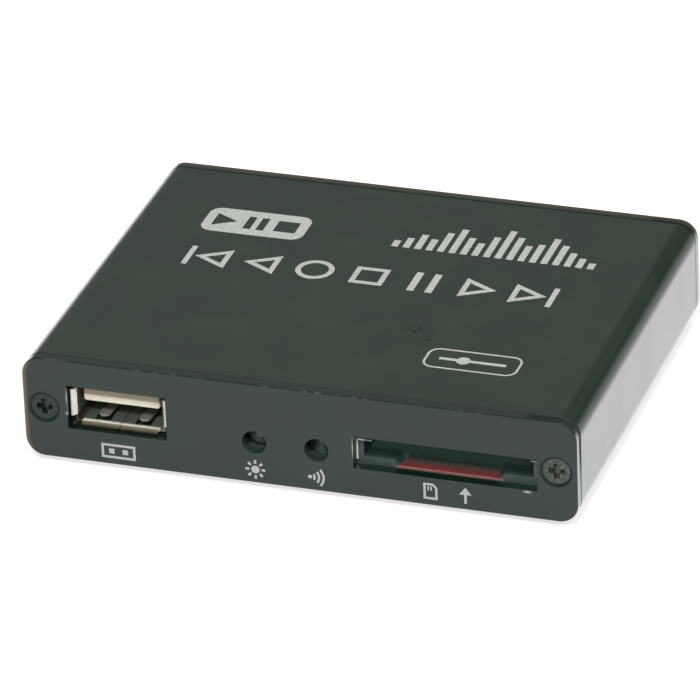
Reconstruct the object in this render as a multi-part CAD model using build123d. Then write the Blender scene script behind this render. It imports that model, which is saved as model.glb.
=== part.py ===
from build123d import *
import os

# A pocket media player: an extruded sleeve closed by two screwed end panels. A circuit board with its
# sockets slides into rails in the sleeve, and the sockets show through cut-outs in the panels.
# Millimetres. The origin is the middle of the footprint on the surface it stands on.
# X is to the right seen from the front, Y to the rear, Z up.

# Housing
body_width = 80.0
body_height = 15.4
sleeve_length = 59.4
sleeve_wall = 1.3
corner_radius = 2.8
panel_thickness = 1.5
seam_bevel = 0.2
panel_edge_break = 0.12

# Stick-on rubber feet
foot_face_width = 6.8
foot_height = 1.2
foot_draft_angle = 18.0
foot_inset = 9.0

# Countersunk panel screws and their ports in the sleeve
screw_inset = 3.0
screw_thread_radius = 0.95
screw_head_radius = 1.95
screw_length = 6.0
screw_sink = 0.3
screw_hole_gap = 0.2
countersink_gap = 0.06
recess_span = 2.3
recess_width = 0.85
recess_depth = 0.75
recess_draft_angle = 8.0
thread_gap = 0.05
port_wall = 0.75
port_slit = 0.8

# Circuit board and the rails that hold it
board_thickness = 1.6
board_lift = 1.6
board_end_gap = 0.3
board_side_gap = 0.3
rail_thickness = 0.9
rail_reach = 1.5
rail_gap = 0.04
lead_tail = 0.9
lead_gap = 0.12
hole_side_count = 6

# USB socket
usb_port_gap = 1.9
usb_recess = 0.8
usb_standoff = 0.84
usb_opening_width = 12.5
usb_opening_height = 5.12
usb_sheet = 0.3
usb_length = 13.8
usb_flare = 0.35
usb_side_flare = 0.5
usb_lip_depth = 0.7
usb_lip_width = 11.2
usb_side_lip_height = 4.1
usb_side_lip_rise = 0.35
usb_cutout_gap_x = 0.2
usb_cutout_gap_z = 0.12
usb_tongue_width = 11.1
usb_tongue_thickness = 1.84
usb_tongue_gap = 0.56
usb_tongue_recess = 0.75
usb_tongue_round = 0.35
usb_tongue_bevel = 0.12
usb_block_depth = 4.2
usb_block_gap = 0.04
usb_finger_width = 1.6
usb_finger_length = 5.2
usb_finger_setback = 1.0
usb_finger_pitch = 5.9
usb_finger_slit = 0.35
usb_finger_angle = 7.0
usb_upper_finger_angle = 2.5
usb_seam = 0.12
usb_leg_width = 2.4
usb_leg_setback = 5.6
usb_contact_width = 1.0
usb_contact_thickness = 0.25
usb_contact_pitches = (-3.5, -1.0, 1.0, 3.5)
usb_contact_start = 0.7
usb_contact_hump = 0.45
usb_groove_gap = 0.1
usb_pin_setback = 0.55

# Card socket, push-push type
sd_port_gap = 0.2
sd_sheet = 0.2
sd_fit = 0.05
sd_depth = 28.5
sd_slot_width = 24.3
sd_slot_height = 2.45
sd_floor = 0.85
sd_side_wall = 0.78
sd_rear_wall = 0.8
sd_channel = 1.5
sd_cutout_side = 0.98
sd_cutout_below = 0.2
sd_cutout_above = 4.7
sd_notch_width = 14.8
sd_notch_slope = 0.75
sd_notch_depth = 3.2
sd_notch_narrowing = 0.8
sd_cover_tab = 2.2
sd_cover_notch = 2.6
sd_skirt_gap = 0.3
sd_foot_length = 1.8
sd_foot_reach = 0.9
sd_foot_inset = 3.0
sd_contact_count = 9
sd_contact_pitch = 2.5
sd_contact_shift = 1.25
sd_contact_width = 0.7
sd_contact_thickness = 0.15
sd_contact_tail = 1.2
sd_contact_reach = 9.6
sd_contact_crown = 0.65
sd_contact_toe = 1.4
sd_contact_gap = 0.15

# Card slider, its spring and its latch wire
slider_gap = 0.05
slider_length = 11.5
slider_setback = 9.2
slider_travel = 4.5
slider_arm_reach = 2.4
slider_arm_back = 1.0
slider_keel_width = 0.5
slider_keel_depth = 0.35
slider_peg_radius = 0.3
slider_peg_length = 1.4
cam_depth = 0.52
cam_lane = 0.56
cam_island_height = 0.6
cam_island_length = 3.2
cam_rear_wall = 2.6
latch_radius = 0.17
latch_bend = 0.4
latch_lead = 2.6
latch_reach = 4.6
latch_socket = 0.6
latch_post = 0.7
spring_radius = 0.5
spring_wire_radius = 0.1
spring_turn_count = 3
spring_end_gap = 0.12
spring_side_count = 4
latch_side_count = 6

# HDMI socket
hdmi_place_share = 0.5
hdmi_recess = 0.3
hdmi_standoff = 0.15
hdmi_width = 14.0
hdmi_height = 4.55
hdmi_shoulder_share = 0.55
hdmi_foot_share = 0.74
hdmi_sheet = 0.35
hdmi_length = 11.6
hdmi_tongue_width = 11.0
hdmi_tongue_thickness = 1.2
hdmi_tongue_recess = 2.1
hdmi_block_depth = 3.2
hdmi_block_gap = 0.04
hdmi_leg_width = 1.6
hdmi_leg_setbacks = (2.2, 7.4)
hdmi_contact_counts = (9, 10)
hdmi_contact_pitch = 1.0
hdmi_contact_width = 0.4
hdmi_contact_thickness = 0.15
hdmi_contact_start = 0.5
hdmi_contact_drops = (0.35, 0.95)
hdmi_contact_foot = 0.5
hdmi_row_gap = 0.06
hdmi_cutout_gap = 0.3

# AV socket for a 3.5 mm plug
av_place_share = 0.14
av_width = 6.0
av_height = 5.0
av_length = 12.0
av_nose_radius = 2.5
av_nose_length = 1.6
av_bore_radius = 1.82
av_end_wall = 1.2
av_contact_thickness = 0.2
av_contact_width = 1.3
av_contact_height = 1.6
av_contact_reach = 1.1
av_contact_shares = (0.22, 0.78)
panel_hole_gap = 0.25

# Power socket for a 3.5 mm barrel plug
dc_place_share = 0.88
dc_width = 5.6
dc_height = 6.2
dc_length = 9.4
dc_nose_radius = 2.7
dc_nose_length = 1.6
dc_bore_radius = 1.85
dc_bore_depth = 9.0
dc_pin_radius = 0.65
dc_pin_root_radius = 0.95
dc_pin_recess = 0.9
dc_pin_gap = 0.02
dc_tab_thickness = 0.4
dc_tab_width = 2.0
dc_side_tab_share = 0.4
dc_contact_thickness = 0.3

# Status light and remote receiver
light_hole_radius = 1.75
light_axis_height = 1.85
led_place_share = 0.477
led_radius = 1.5
led_dome_radius = 2.2
led_length = 4.6
led_setback = 0.15
led_lead_size = 0.5
led_lead_pitch = 2.54
led_lead_run = 1.4
ir_place_share = 0.8075
ir_width = 5.0
ir_height = 4.6
ir_body_depth = 2.6
ir_lens_radius = 1.6
ir_lens_height = 3.4
ir_setback = 0.15
ir_corner_bevel = 0.5
ir_standoff = 0.05
ir_lead_size = 0.4
ir_lead_pitch = 1.6
ir_lead_run = 0.8
ir_lead_height = 1.2

# Chips and other parts on the board, their places in shares of the board's width and depth from front left
processor_size = 14.0
processor_height = 1.4
processor_lead_count = 7
processor_lead_pitch = 1.7
processor_place_shares = (0.38, 0.5)
memory_width = 10.2
memory_length = 18.4
memory_height = 1.1
memory_lead_count = 10
memory_lead_pitch = 1.7
memory_gap = 1.2
flash_width = 5.2
flash_length = 5.2
flash_height = 1.7
flash_lead_count = 4
flash_lead_pitch = 1.27
chip_lead_width = 0.35
chip_lead_thickness = 0.15
chip_lead_reach = 1.0
chip_lead_foot_share = 0.5
chip_standoff = 0.1
chip_edge_bevel = 0.15
crystal_length = 10.8
crystal_width = 4.4
crystal_height = 3.4
front_row_gap = 0.8
regulator_length = 6.5
regulator_width = 3.5
regulator_height = 1.6
regulator_tab_width = 3.0
regulator_lead_count = 3
regulator_lead_pitch = 2.3
regulator_lead_width = 0.7
regulator_row_shares = (0.12, 0.88)
inductor_size = 5.2
inductor_height = 2.8
inductor_bevel = 1.1
inductor_row_shares = (0.38, 0.62)
capacitor_radius = 2.5
capacitor_height = 4.4
capacitor_base_size = 5.3
capacitor_base_height = 0.9
capacitor_base_bevel = 1.2
capacitor_setback = 4.2
capacitor_row_shares = (0.28, 0.66)
power_row_gap = 1.2
passive_length = 2.0
passive_width = 1.2
passive_height = 0.6
passive_row_counts = (8, 4)
passive_pitch_share = 0.034
passive_row_shares = ((0.26, 0.705), (0.40, 0.16))

# Every cut runs this far past the face that it opens
overrun = 1.0

# Levels and places that follow from the sizes above
depth = sleeve_length + 2 * panel_thickness
front_face = -depth / 2
rear_face = depth / 2
sleeve_front = -sleeve_length / 2
sleeve_back = sleeve_length / 2
underside = foot_height
mid_height = underside + body_height / 2
inner_half = body_width / 2 - sleeve_wall
board_bottom = underside + sleeve_wall + board_lift
board_top = board_bottom + board_thickness
board_half = inner_half - board_side_gap
board_front = sleeve_front + board_end_gap
board_back = sleeve_back - board_end_gap
lead_end = board_bottom - lead_tail
screw_x = body_width / 2 - screw_inset
screw_hole_radius = screw_thread_radius + screw_hole_gap
port_bore = screw_thread_radius + thread_gap
port_radius = port_bore + port_wall
port_edge = screw_x - port_radius

usb_half = usb_opening_width / 2 + usb_sheet
usb_reach = usb_half + usb_side_flare
usb_x = usb_port_gap + usb_reach - port_edge
usb_front = front_face + usb_recess
usb_mouth = usb_front + usb_lip_depth
usb_back = usb_front + usb_length
usb_bottom = board_top + usb_standoff
usb_floor = usb_bottom + usb_sheet
usb_ceiling = usb_floor + usb_opening_height
usb_top = usb_ceiling + usb_sheet
usb_tongue_top = usb_ceiling - usb_tongue_gap
usb_tongue_bottom = usb_tongue_top - usb_tongue_thickness
usb_tongue_front = usb_mouth + usb_tongue_recess
usb_pin_y = usb_back + usb_pin_setback
usb_leg_y = usb_mouth + usb_leg_setback

sd_right = port_edge - sd_port_gap
channel_right = sd_right - sd_sheet - sd_fit
slot_right = channel_right - sd_channel
slot_left = slot_right - sd_slot_width
sd_base_left = slot_left - sd_side_wall
sd_left = sd_base_left - sd_fit - sd_sheet
sd_x = (slot_left + slot_right) / 2
sd_front = board_front
sd_back = sd_front + sd_depth
slot_floor = board_top + sd_floor
slot_ceiling = slot_floor + sd_slot_height
slider_front = sd_front + slider_setback
slider_back = slider_front + slider_length
slider_left = slot_right + slider_gap
slider_right = channel_right - slider_gap
slider_bottom = slot_floor + slider_gap
slider_top = slot_ceiling - slider_gap
slider_x = (slider_left + slider_right) / 2
slider_z = (slider_bottom + slider_top) / 2
lower_lane_z = slider_z - (cam_island_height + cam_lane) / 2
latch_x = slider_right - cam_depth / 2

light_z = board_top + light_axis_height
light_span = sd_left - (usb_x + usb_reach)
led_x = usb_x + usb_reach + led_place_share * light_span
ir_x = usb_x + usb_reach + ir_place_share * light_span
led_front = board_front + led_setback
led_back = led_front + led_length
ir_front = board_front + ir_setback
ir_back = ir_front + ir_lens_radius + ir_body_depth
ir_bottom = board_top + ir_standoff

hdmi_x = port_edge * (2 * hdmi_place_share - 1)
hdmi_mouth = rear_face - hdmi_recess
hdmi_back = hdmi_mouth - hdmi_length
hdmi_z = board_top + hdmi_standoff + hdmi_sheet + hdmi_height / 2
hdmi_block_back = hdmi_back
hdmi_block_front = hdmi_back + hdmi_block_depth
av_x = port_edge * (2 * av_place_share - 1)
av_z = board_top + av_height / 2
av_front = board_back
av_back = av_front - av_length
dc_x = port_edge * (2 * dc_place_share - 1)
dc_z = board_top + dc_height / 2
dc_front = board_back
dc_back = dc_front - dc_length
dc_mouth = dc_front + dc_nose_length

power_row_y = sd_back + sd_contact_tail + power_row_gap + regulator_length / 2
capacitor_y = board_back - capacitor_setback


# Helpers

def span(centre, size):
    return centre - size / 2, centre + size / 2


def block(x, y, z):
    """A box between the two ends given for each axis."""
    sizes = [abs(high - low) for low, high in (x, y, z)]
    middles = [(low + high) / 2 for low, high in (x, y, z)]
    return Pos(*middles) * Box(*sizes)


def panel_rectangle(x, z):
    """A rectangle drawn in X and Z between the two ends given for each."""
    middle = Pos((x[0] + x[1]) / 2, (z[0] + z[1]) / 2)
    return middle * Rectangle(abs(x[1] - x[0]), abs(z[1] - z[0]))


def along_depth(sketch, start, end):
    """A sketch drawn in X and Z, extruded along Y."""
    return Pos(0, start, 0) * extrude(Plane.XZ * sketch, amount=end - start, dir=(0, 1, 0))


def upright(sketch, start, end):
    """A sketch drawn in X and Y, extruded along Z."""
    return Pos(0, 0, start) * extrude(sketch, amount=end - start)


def rod(radius, length):
    """A round bar that rises from the origin."""
    return Cylinder(radius, length, align=(Align.CENTER, Align.CENTER, Align.MIN))


def aimed(direction, x, y, z):
    """The place that turns what rises along Z to point along Y, to the rear for 1 and to the front for -1."""
    return Pos(x, y, z) * Rot(-90 * direction, 0, 0)


def strip_outline(points, thickness):
    """Both edges of a bent strip of even thickness, with mitred bends, as one outline."""
    line = [Vector(*point) for point in points]
    runs = [(after - before).normalized() for before, after in zip(line, line[1:])]
    left, right = [], []
    for index, point in enumerate(line):
        coming = runs[max(index - 1, 0)]
        going = runs[min(index, len(runs) - 1)]
        middle = (coming + going).normalized()
        side = Vector(-middle.Y, middle.X) * (thickness / 2 / middle.dot(going))
        left.append(point + side)
        right.append(point - side)
    return left + right[::-1]


def strip_along_depth(points, thickness, x):
    """A bent strip: its line is drawn in Y and Z, and its width runs along X."""
    face = make_face(Polyline(*strip_outline(points, thickness), close=True))
    return Pos(x[0], 0, 0) * extrude(Plane.YZ * face, amount=x[1] - x[0])


def strip_along_width(points, thickness, y):
    """A bent strip: its line is drawn in X and Z, and its width runs along Y."""
    face = make_face(Polyline(*strip_outline(points, thickness), close=True))
    return along_depth(face, *y)


def group(solids):
    """Separate solids kept in one node."""
    return Compound(children=list(solids))


def on_board(shares):
    """The X and Y of a place given in shares of the board's width and depth, from its front left corner."""
    x = board_half * (2 * shares[0] - 1)
    y = board_front + (board_back - board_front) * shares[1]
    return x, y


# Housing

def housing_outline(inset):
    width = body_width - 2 * inset
    height = body_height - 2 * inset
    return Pos(0, mid_height) * RectangleRounded(width, height, corner_radius - inset)


def housing_sleeve():
    """The extruded tube with board rails and an open screw port on each side wall."""
    profile = housing_outline(0) - housing_outline(sleeve_wall)
    low_rail = (board_bottom - rail_gap - rail_thickness, board_bottom - rail_gap)
    high_rail = (board_top + rail_gap, board_top + rail_gap + rail_thickness)
    for side in (-1, 1):
        wall_middle = side * (inner_half + sleeve_wall / 2)
        for rail in (low_rail, high_rail):
            profile += panel_rectangle((side * (inner_half - rail_reach), wall_middle), rail)
        profile += Pos(side * screw_x, mid_height) * Circle(port_radius)
        profile += panel_rectangle((side * screw_x, wall_middle), span(mid_height, 2 * port_radius))
        profile -= Pos(side * screw_x, mid_height) * Circle(port_bore)
        profile -= panel_rectangle((side * (port_edge - overrun), side * screw_x), span(mid_height, port_slit))
    sleeve = along_depth(profile, sleeve_front, sleeve_back)
    faces = sleeve.faces().sort_by(Axis.Y)
    ends = faces[0].outer_wire().edges() + faces[-1].outer_wire().edges()
    return chamfer(ends, seam_bevel)


def end_panel(outer, inner, openings):
    """A flat plate between two Y levels, with countersunk screw holes that open at the outer one."""
    direction = 1 if inner > outer else -1
    sketch = housing_outline(0) - openings
    for side in (-1, 1):
        sketch -= Pos(side * screw_x, mid_height) * Circle(screw_hole_radius)
    plate = along_depth(sketch, min(outer, inner), max(outer, inner))
    faces = plate.faces().sort_by(Axis.Y)[::direction]
    plate = chamfer(faces[0].outer_wire().edges(), panel_edge_break)
    mouth = screw_head_radius + screw_sink + countersink_gap
    sink = Cone(mouth, screw_hole_radius, mouth - screw_hole_radius, align=(Align.CENTER, Align.CENTER, Align.MIN))
    for side in (-1, 1):
        plate -= aimed(direction, side * screw_x, outer, mid_height) * sink
    return plate


def front_panel():
    gap_x = usb_reach + usb_cutout_gap_x
    gap_z = usb_flare + usb_cutout_gap_z
    openings = panel_rectangle((usb_x - gap_x, usb_x + gap_x), (usb_bottom - gap_z, usb_top + gap_z))
    sides = (slot_left - sd_cutout_side, slot_right + sd_cutout_side)
    openings += panel_rectangle(sides, (board_top - sd_cutout_below, board_top + sd_cutout_above))
    for x in (led_x, ir_x):
        openings += Pos(x, light_z) * Circle(light_hole_radius)
    return end_panel(front_face, sleeve_front, openings)


def rear_panel():
    openings = Pos(av_x, av_z) * Circle(av_nose_radius + panel_hole_gap)
    openings += Pos(dc_x, dc_z) * Circle(dc_nose_radius + panel_hole_gap)
    openings += hdmi_outline(hdmi_sheet + hdmi_cutout_gap)
    return end_panel(rear_face, sleeve_back, openings)


def panel_screw():
    """A countersunk screw that points up, with the face of its head at the origin and a cross recess in it."""
    head_height = screw_head_radius - screw_thread_radius
    base = (Align.CENTER, Align.CENTER, Align.MIN)
    screw = Cone(screw_head_radius, screw_thread_radius, head_height, align=base)
    screw += rod(screw_thread_radius, screw_length)
    for turn in (0, 90):
        wing = extrude(Rectangle(recess_span, recess_width), amount=recess_depth, taper=recess_draft_angle)
        screw -= Rot(0, 0, turn) * wing
    return screw


def panel_screws(outer, direction):
    y = outer + direction * screw_sink
    return group(aimed(direction, side * screw_x, y, mid_height) * panel_screw() for side in (-1, 1))


def rubber_feet():
    """Four square pads that widen from the face they stand on up to the housing."""
    foot = extrude(Rectangle(foot_face_width, foot_face_width), amount=foot_height, taper=-foot_draft_angle)
    x = body_width / 2 - foot_inset
    y = depth / 2 - foot_inset
    return group(Pos(i * x, j * y, 0) * foot for i in (-1, 1) for j in (-1, 1))


# USB socket

def usb_finger(angle):
    """A spring finger with a round tip, cut from the shell: rooted at the origin, it runs to the front and rises."""
    half = usb_finger_width / 2
    straight = usb_finger_length - half
    plan = Pos(0, -(straight - usb_finger_slit) / 2) * Rectangle(usb_finger_width, straight + usb_finger_slit)
    plan += Pos(0, -straight) * Circle(half)
    return Rot(-angle, 0, 0) * extrude(plan, amount=usb_sheet)


def usb_shell():
    """The folded sheet shell, flared at the mouth, with two spring fingers above and below and two solder legs."""
    inner = (usb_x - usb_opening_width / 2, usb_x + usb_opening_width / 2)
    outer = (usb_x - usb_half, usb_x + usb_half)
    shell = block(outer, (usb_mouth, usb_back), (usb_bottom, usb_top))
    shell -= block(inner, (usb_mouth - overrun, usb_back + overrun), (usb_floor, usb_ceiling))
    lip_x = span(usb_x, usb_lip_width)
    lip_z = span((usb_floor + usb_ceiling) / 2 + usb_side_lip_rise, usb_side_lip_height)
    for up, level in ((-1, usb_floor - usb_sheet / 2), (1, usb_ceiling + usb_sheet / 2)):
        line = [(usb_front, level + up * usb_flare), (usb_mouth, level), (usb_mouth + usb_sheet, level)]
        shell += strip_along_depth(line, usb_sheet, lip_x)
    for side in (-1, 1):
        wall = usb_x + side * (usb_half - usb_sheet / 2)
        line = [(wall + side * usb_side_flare, usb_front), (wall, usb_mouth), (wall, usb_mouth + usb_sheet)]
        outline = make_face(Polyline(*strip_outline(line, usb_sheet), close=True))
        shell += upright(outline, *lip_z)
        leg_x = sorted((usb_x + side * usb_half, usb_x + side * (usb_half - usb_sheet)))
        shell += block(leg_x, span(usb_leg_y, usb_leg_width), (lead_end, usb_floor))
    shell -= block(span(usb_x, usb_seam), (usb_front - overrun, usb_back + overrun), (usb_bottom - usb_flare, usb_floor))
    root = usb_mouth + usb_finger_setback + usb_finger_length
    window_y = (usb_mouth + usb_finger_setback - usb_finger_slit, root)
    for side in (-1, 1):
        x = usb_x + side * usb_finger_pitch / 2
        window_x = span(x, usb_finger_width + 2 * usb_finger_slit)
        shell -= block(window_x, window_y, (usb_bottom - overrun, usb_floor))
        shell -= block(window_x, window_y, (usb_ceiling, usb_top + overrun))
        shell += Pos(x, root, usb_bottom) * usb_finger(usb_finger_angle)
        shell += Pos(x, root, usb_top) * Rot(0, 180, 0) * usb_finger(usb_upper_finger_angle)
    return shell


def usb_contact_level():
    return usb_tongue_bottom + usb_contact_thickness / 2


def usb_insulator():
    """The block at the back of the shell and the tongue that it carries, grooved for the contacts."""
    inner = span(usb_x, usb_opening_width - 2 * usb_block_gap)
    back = (usb_back - usb_block_depth, usb_back)
    body = block(inner, back, (usb_floor + usb_block_gap, usb_ceiling - usb_block_gap))
    middle = Pos(usb_x, (usb_tongue_bottom + usb_tongue_top) / 2)
    section = middle * RectangleRounded(usb_tongue_width, usb_tongue_thickness, usb_tongue_round)
    tongue = along_depth(section, usb_tongue_front, usb_back)
    tongue = chamfer(tongue.faces().sort_by(Axis.Y)[0].edges(), usb_tongue_bevel)
    body += tongue
    level = usb_contact_level()
    groove_z = span(level, usb_contact_thickness + 2 * usb_groove_gap)
    groove_y = (usb_tongue_front + usb_contact_start - usb_groove_gap, usb_back + overrun)
    for pitch in usb_contact_pitches:
        body -= block(span(usb_x + pitch, usb_contact_width + 2 * usb_groove_gap), groove_y, groove_z)
    return body


def usb_contacts():
    """Four strips under the tongue, each with a hump, led out at the back and down through the board."""
    level = usb_contact_level()
    start = usb_tongue_front + usb_contact_start
    free = usb_back - usb_block_depth - start
    low = level - usb_contact_hump
    line = [(start, level), (start + free / 3, low), (start + free / 2, low), (start + free * 3 / 4, level)]
    line += [(usb_pin_y, level), (usb_pin_y, lead_end)]
    xs = [span(usb_x + pitch, usb_contact_width) for pitch in usb_contact_pitches]
    return group(strip_along_depth(line, usb_contact_thickness, x) for x in xs)


# Card socket

def contact_xs():
    middle = (sd_contact_count - 1) / 2
    return [sd_x - sd_contact_shift + (i - middle) * sd_contact_pitch for i in range(sd_contact_count)]


def finger_notch():
    """The notch in the front of the base: its ends slope, and it narrows to the back."""
    def section(y, shrink):
        low = sd_notch_width / 2 - shrink
        high = low + sd_notch_slope
        rise = sd_notch_slope / sd_floor
        top = slot_floor + overrun
        bottom = board_top - overrun
        reach_high = high + overrun * rise
        reach_low = low - overrun * rise
        corners = [(-reach_low, bottom), (reach_low, bottom), (reach_high, top), (-reach_high, top)]
        face = make_face(Polyline(*corners, close=True))
        return Pos(sd_x, y, 0) * (Plane.XZ * face)
    return loft([section(sd_front - overrun, 0), section(sd_front + sd_notch_depth, sd_notch_narrowing)], ruled=True)


def sd_base():
    """The moulded base: floor, left and rear walls, contact slots, slider groove and the finger notch."""
    base = block((sd_base_left, channel_right), (sd_front, sd_back), (board_top, slot_floor))
    base += block((sd_base_left, slot_left), (sd_front, sd_back), (slot_floor, slot_ceiling))
    base += block((sd_base_left, channel_right), (sd_back - sd_rear_wall, sd_back), (slot_floor, slot_ceiling))
    post_back = slider_front - latch_lead - latch_post
    base += block((slot_right, channel_right), (sd_front, post_back), (slot_floor, slot_ceiling))
    base -= finger_notch()
    slot_y = (sd_back - sd_rear_wall - sd_contact_reach - sd_contact_toe - sd_contact_gap, sd_back - sd_rear_wall)
    tail_z = (board_top - overrun, board_top + sd_contact_thickness + sd_contact_gap)
    for x in contact_xs():
        width = span(x, sd_contact_width + 2 * sd_contact_gap)
        base -= block(width, slot_y, (board_top - overrun, slot_floor + overrun))
        base -= block(width, (sd_back - 2 * sd_rear_wall, sd_back + overrun), tail_z)
    groove_x = span(slider_x, slider_keel_width + 2 * slider_gap)
    groove_y = (slider_front - slider_gap, slider_back + slider_travel + slider_gap)
    base -= block(groove_x, groove_y, (slider_bottom - slider_keel_depth - slider_gap, slot_floor + overrun))
    hole = rod(latch_radius + latch_radius / 4, sd_floor + overrun)
    return base - Pos(latch_x, slider_front - latch_lead, slot_floor - latch_socket) * hole


def sd_cover():
    """The sheet cover: a notched top, a skirt down each side and four solder feet."""
    top_z = (slot_ceiling, slot_ceiling + sd_sheet)
    cover = block((sd_left, sd_right), (sd_front, sd_back), top_z)
    notch_x = (sd_left + sd_cover_tab, sd_right - sd_cover_tab)
    cover -= block(notch_x, (sd_front - overrun, sd_front + sd_cover_notch), span(slot_ceiling, overrun))
    skirt_bottom = board_top + sd_skirt_gap
    for outer, turn in ((sd_left, 1), (sd_right, -1)):
        cover += block(sorted((outer, outer + turn * sd_sheet)), (sd_front, sd_back), (skirt_bottom, top_z[1]))
        for y in (sd_front + sd_foot_inset, sd_back - sd_foot_inset):
            leg = sorted((outer, outer + turn * sd_sheet))
            toe = sorted((outer + turn * sd_sheet, outer - turn * sd_foot_reach))
            foot_y = span(y, sd_foot_length)
            cover += block(leg, foot_y, (board_top, skirt_bottom))
            cover += block(toe, foot_y, (board_top, board_top + sd_sheet))
    return cover


def sd_contacts():
    """Spring contacts: a tail on the board behind the base, then a beam that rises to a crown in the slot."""
    flat = board_top + sd_contact_thickness / 2
    heel = sd_back - 2 * sd_rear_wall
    crown = (sd_back - sd_rear_wall - sd_contact_reach, slot_floor + sd_contact_crown)
    toe = (crown[0] - sd_contact_toe, slot_floor - sd_contact_crown / 2)
    line = [(sd_back + sd_contact_tail, flat), (heel, flat), crown, toe]
    xs = [span(x, sd_contact_width) for x in contact_xs()]
    return group(strip_along_depth(line, sd_contact_thickness, x) for x in xs)


def cam_track():
    """The track in the slider's outer side: an inward lane open to the front, an island and a return lane."""
    length = slider_length - cam_rear_wall
    lanes = span(slider_z, cam_island_height + 2 * cam_lane)
    loop_front = slider_back - cam_rear_wall - cam_island_length - 2 * cam_lane
    cut_x = (slider_right - cam_depth, slider_right + overrun)
    track = block(cut_x, (loop_front, slider_back - cam_rear_wall), lanes)
    track += block(cut_x, (slider_front - overrun, slider_front + length), span(lower_lane_z, cam_lane))
    middle = loop_front + cam_lane + cam_island_length / 2
    half = cam_island_length / 2
    rise = cam_island_height / 2
    nose = (middle - half, slider_z)
    notch = (middle + half - cam_lane, slider_z)
    heart = [nose, (middle, slider_z - rise), (middle + half, slider_z - rise), notch,
             (middle + half, slider_z + rise), (middle, slider_z + rise)]
    island = extrude(Plane.YZ * make_face(Polyline(*heart, close=True)), amount=cut_x[1] - cut_x[0])
    return track - Pos(cut_x[0], 0, 0) * island


def sd_slider():
    """The slider that the card's bevelled corner pushes: body, arm, keel, spring peg and cam track."""
    slider = block((slider_left, slider_right), (slider_front, slider_back), (slider_bottom, slider_top))
    tip = slider_left - slider_arm_reach
    bevel_front = slider_back - slider_arm_back - slider_arm_reach
    wedge = [(slider_x, bevel_front), (slider_left, bevel_front), (tip, bevel_front + slider_arm_reach),
             (tip, slider_back), (slider_x, slider_back)]
    arm_bottom = slot_floor + sd_contact_crown / 2
    slider += upright(make_face(Polyline(*wedge, close=True)), arm_bottom, slider_top)
    keel_z = (slider_bottom - slider_keel_depth, slider_z)
    slider += block(span(slider_x, slider_keel_width), (slider_front, slider_back), keel_z)
    slider += aimed(1, slider_x, slider_back, slider_z) * rod(slider_peg_radius, slider_peg_length)
    return slider - cam_track()


def biarc(start, leaving, end, arriving):
    """Two arcs that join two points and keep both directions."""
    gap = end - start
    both = leaving + arriving
    spread = 2 * (1 - leaving.dot(arriving))
    along = gap.dot(both)
    reach = ((along * along + spread * gap.dot(gap)) ** 0.5 - along) / spread
    first = start + leaving * reach
    last = end - arriving * reach
    joint = (first + last) / 2
    return [TangentArc(start, joint, tangent=leaving), TangentArc(joint, end, tangent=(last - first).normalized())]


def sd_eject_spring():
    """A coil between the slider and the rear wall, each half turn made of two arcs."""
    start = slider_back + spring_end_gap + spring_wire_radius
    end = sd_back - sd_rear_wall - spring_end_gap - spring_wire_radius
    halves = 2 * spring_turn_count
    rise = (end - start) / halves
    slope = rise / (3.14159265 * spring_radius)
    arcs = []
    for half in range(halves):
        sign = 1 if half % 2 == 0 else -1
        here = Vector(slider_x + sign * spring_radius, start + half * rise, slider_z)
        there = Vector(slider_x - sign * spring_radius, start + (half + 1) * rise, slider_z)
        leaving = Vector(0, slope, sign).normalized()
        arriving = Vector(0, slope, -sign).normalized()
        arcs += biarc(here, leaving, there, arriving)
    path = Wire(arcs)
    profile = Plane(path @ 0, z_dir=path % 0) * RegularPolygon(spring_wire_radius, spring_side_count)
    return sweep(profile, path=path)


def sd_latch_wire():
    """The bent wire that rides in the cam track: one end turned down into the base."""
    anchor = slider_front - latch_lead
    points = [(latch_x, anchor, slot_floor - latch_socket), (latch_x, anchor, lower_lane_z),
              (latch_x, slider_front + latch_reach, lower_lane_z)]
    path = FilletPolyline(*points, radius=latch_bend)
    profile = Plane(path @ 0, z_dir=path % 0) * RegularPolygon(latch_radius, latch_side_count)
    return sweep(profile, path=path)


# HDMI socket

def hdmi_outline(growth):
    """The mouth drawn in X and Z: full width above, narrowing below. It is grown evenly by the value given."""
    half = hdmi_width / 2
    foot = half * hdmi_foot_share
    top = hdmi_z + hdmi_height / 2
    bottom = hdmi_z - hdmi_height / 2
    shoulder = bottom + hdmi_height * (1 - hdmi_shoulder_share)
    right = [(foot, bottom), (half, shoulder), (half, top)]
    left = [(-x, z) for x, z in right[::-1]]
    mouth = make_face(Polyline(*[(hdmi_x + x, z) for x, z in right + left], close=True))
    return offset(mouth, amount=growth, kind=Kind.INTERSECTION) if growth else mouth


def hdmi_shell():
    """The folded shell and its four solder legs."""
    shell = along_depth(hdmi_outline(hdmi_sheet) - hdmi_outline(0), hdmi_back, hdmi_mouth)
    half = hdmi_width / 2
    for side in (-1, 1):
        wall = sorted((hdmi_x + side * half, hdmi_x + side * (half + hdmi_sheet)))
        for setback in hdmi_leg_setbacks:
            y = span(hdmi_back + setback, hdmi_leg_width)
            shell += block(wall, y, (lead_end, hdmi_z + hdmi_sheet))
    return shell


def hdmi_rows():
    """Both contact rows: level on the tongue, how far behind the block it drops, number of contacts."""
    reach = (hdmi_tongue_thickness + hdmi_contact_thickness) / 2
    levels = (hdmi_z - reach, hdmi_z + reach)
    return list(zip(levels, hdmi_contact_drops, hdmi_contact_counts))


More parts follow.
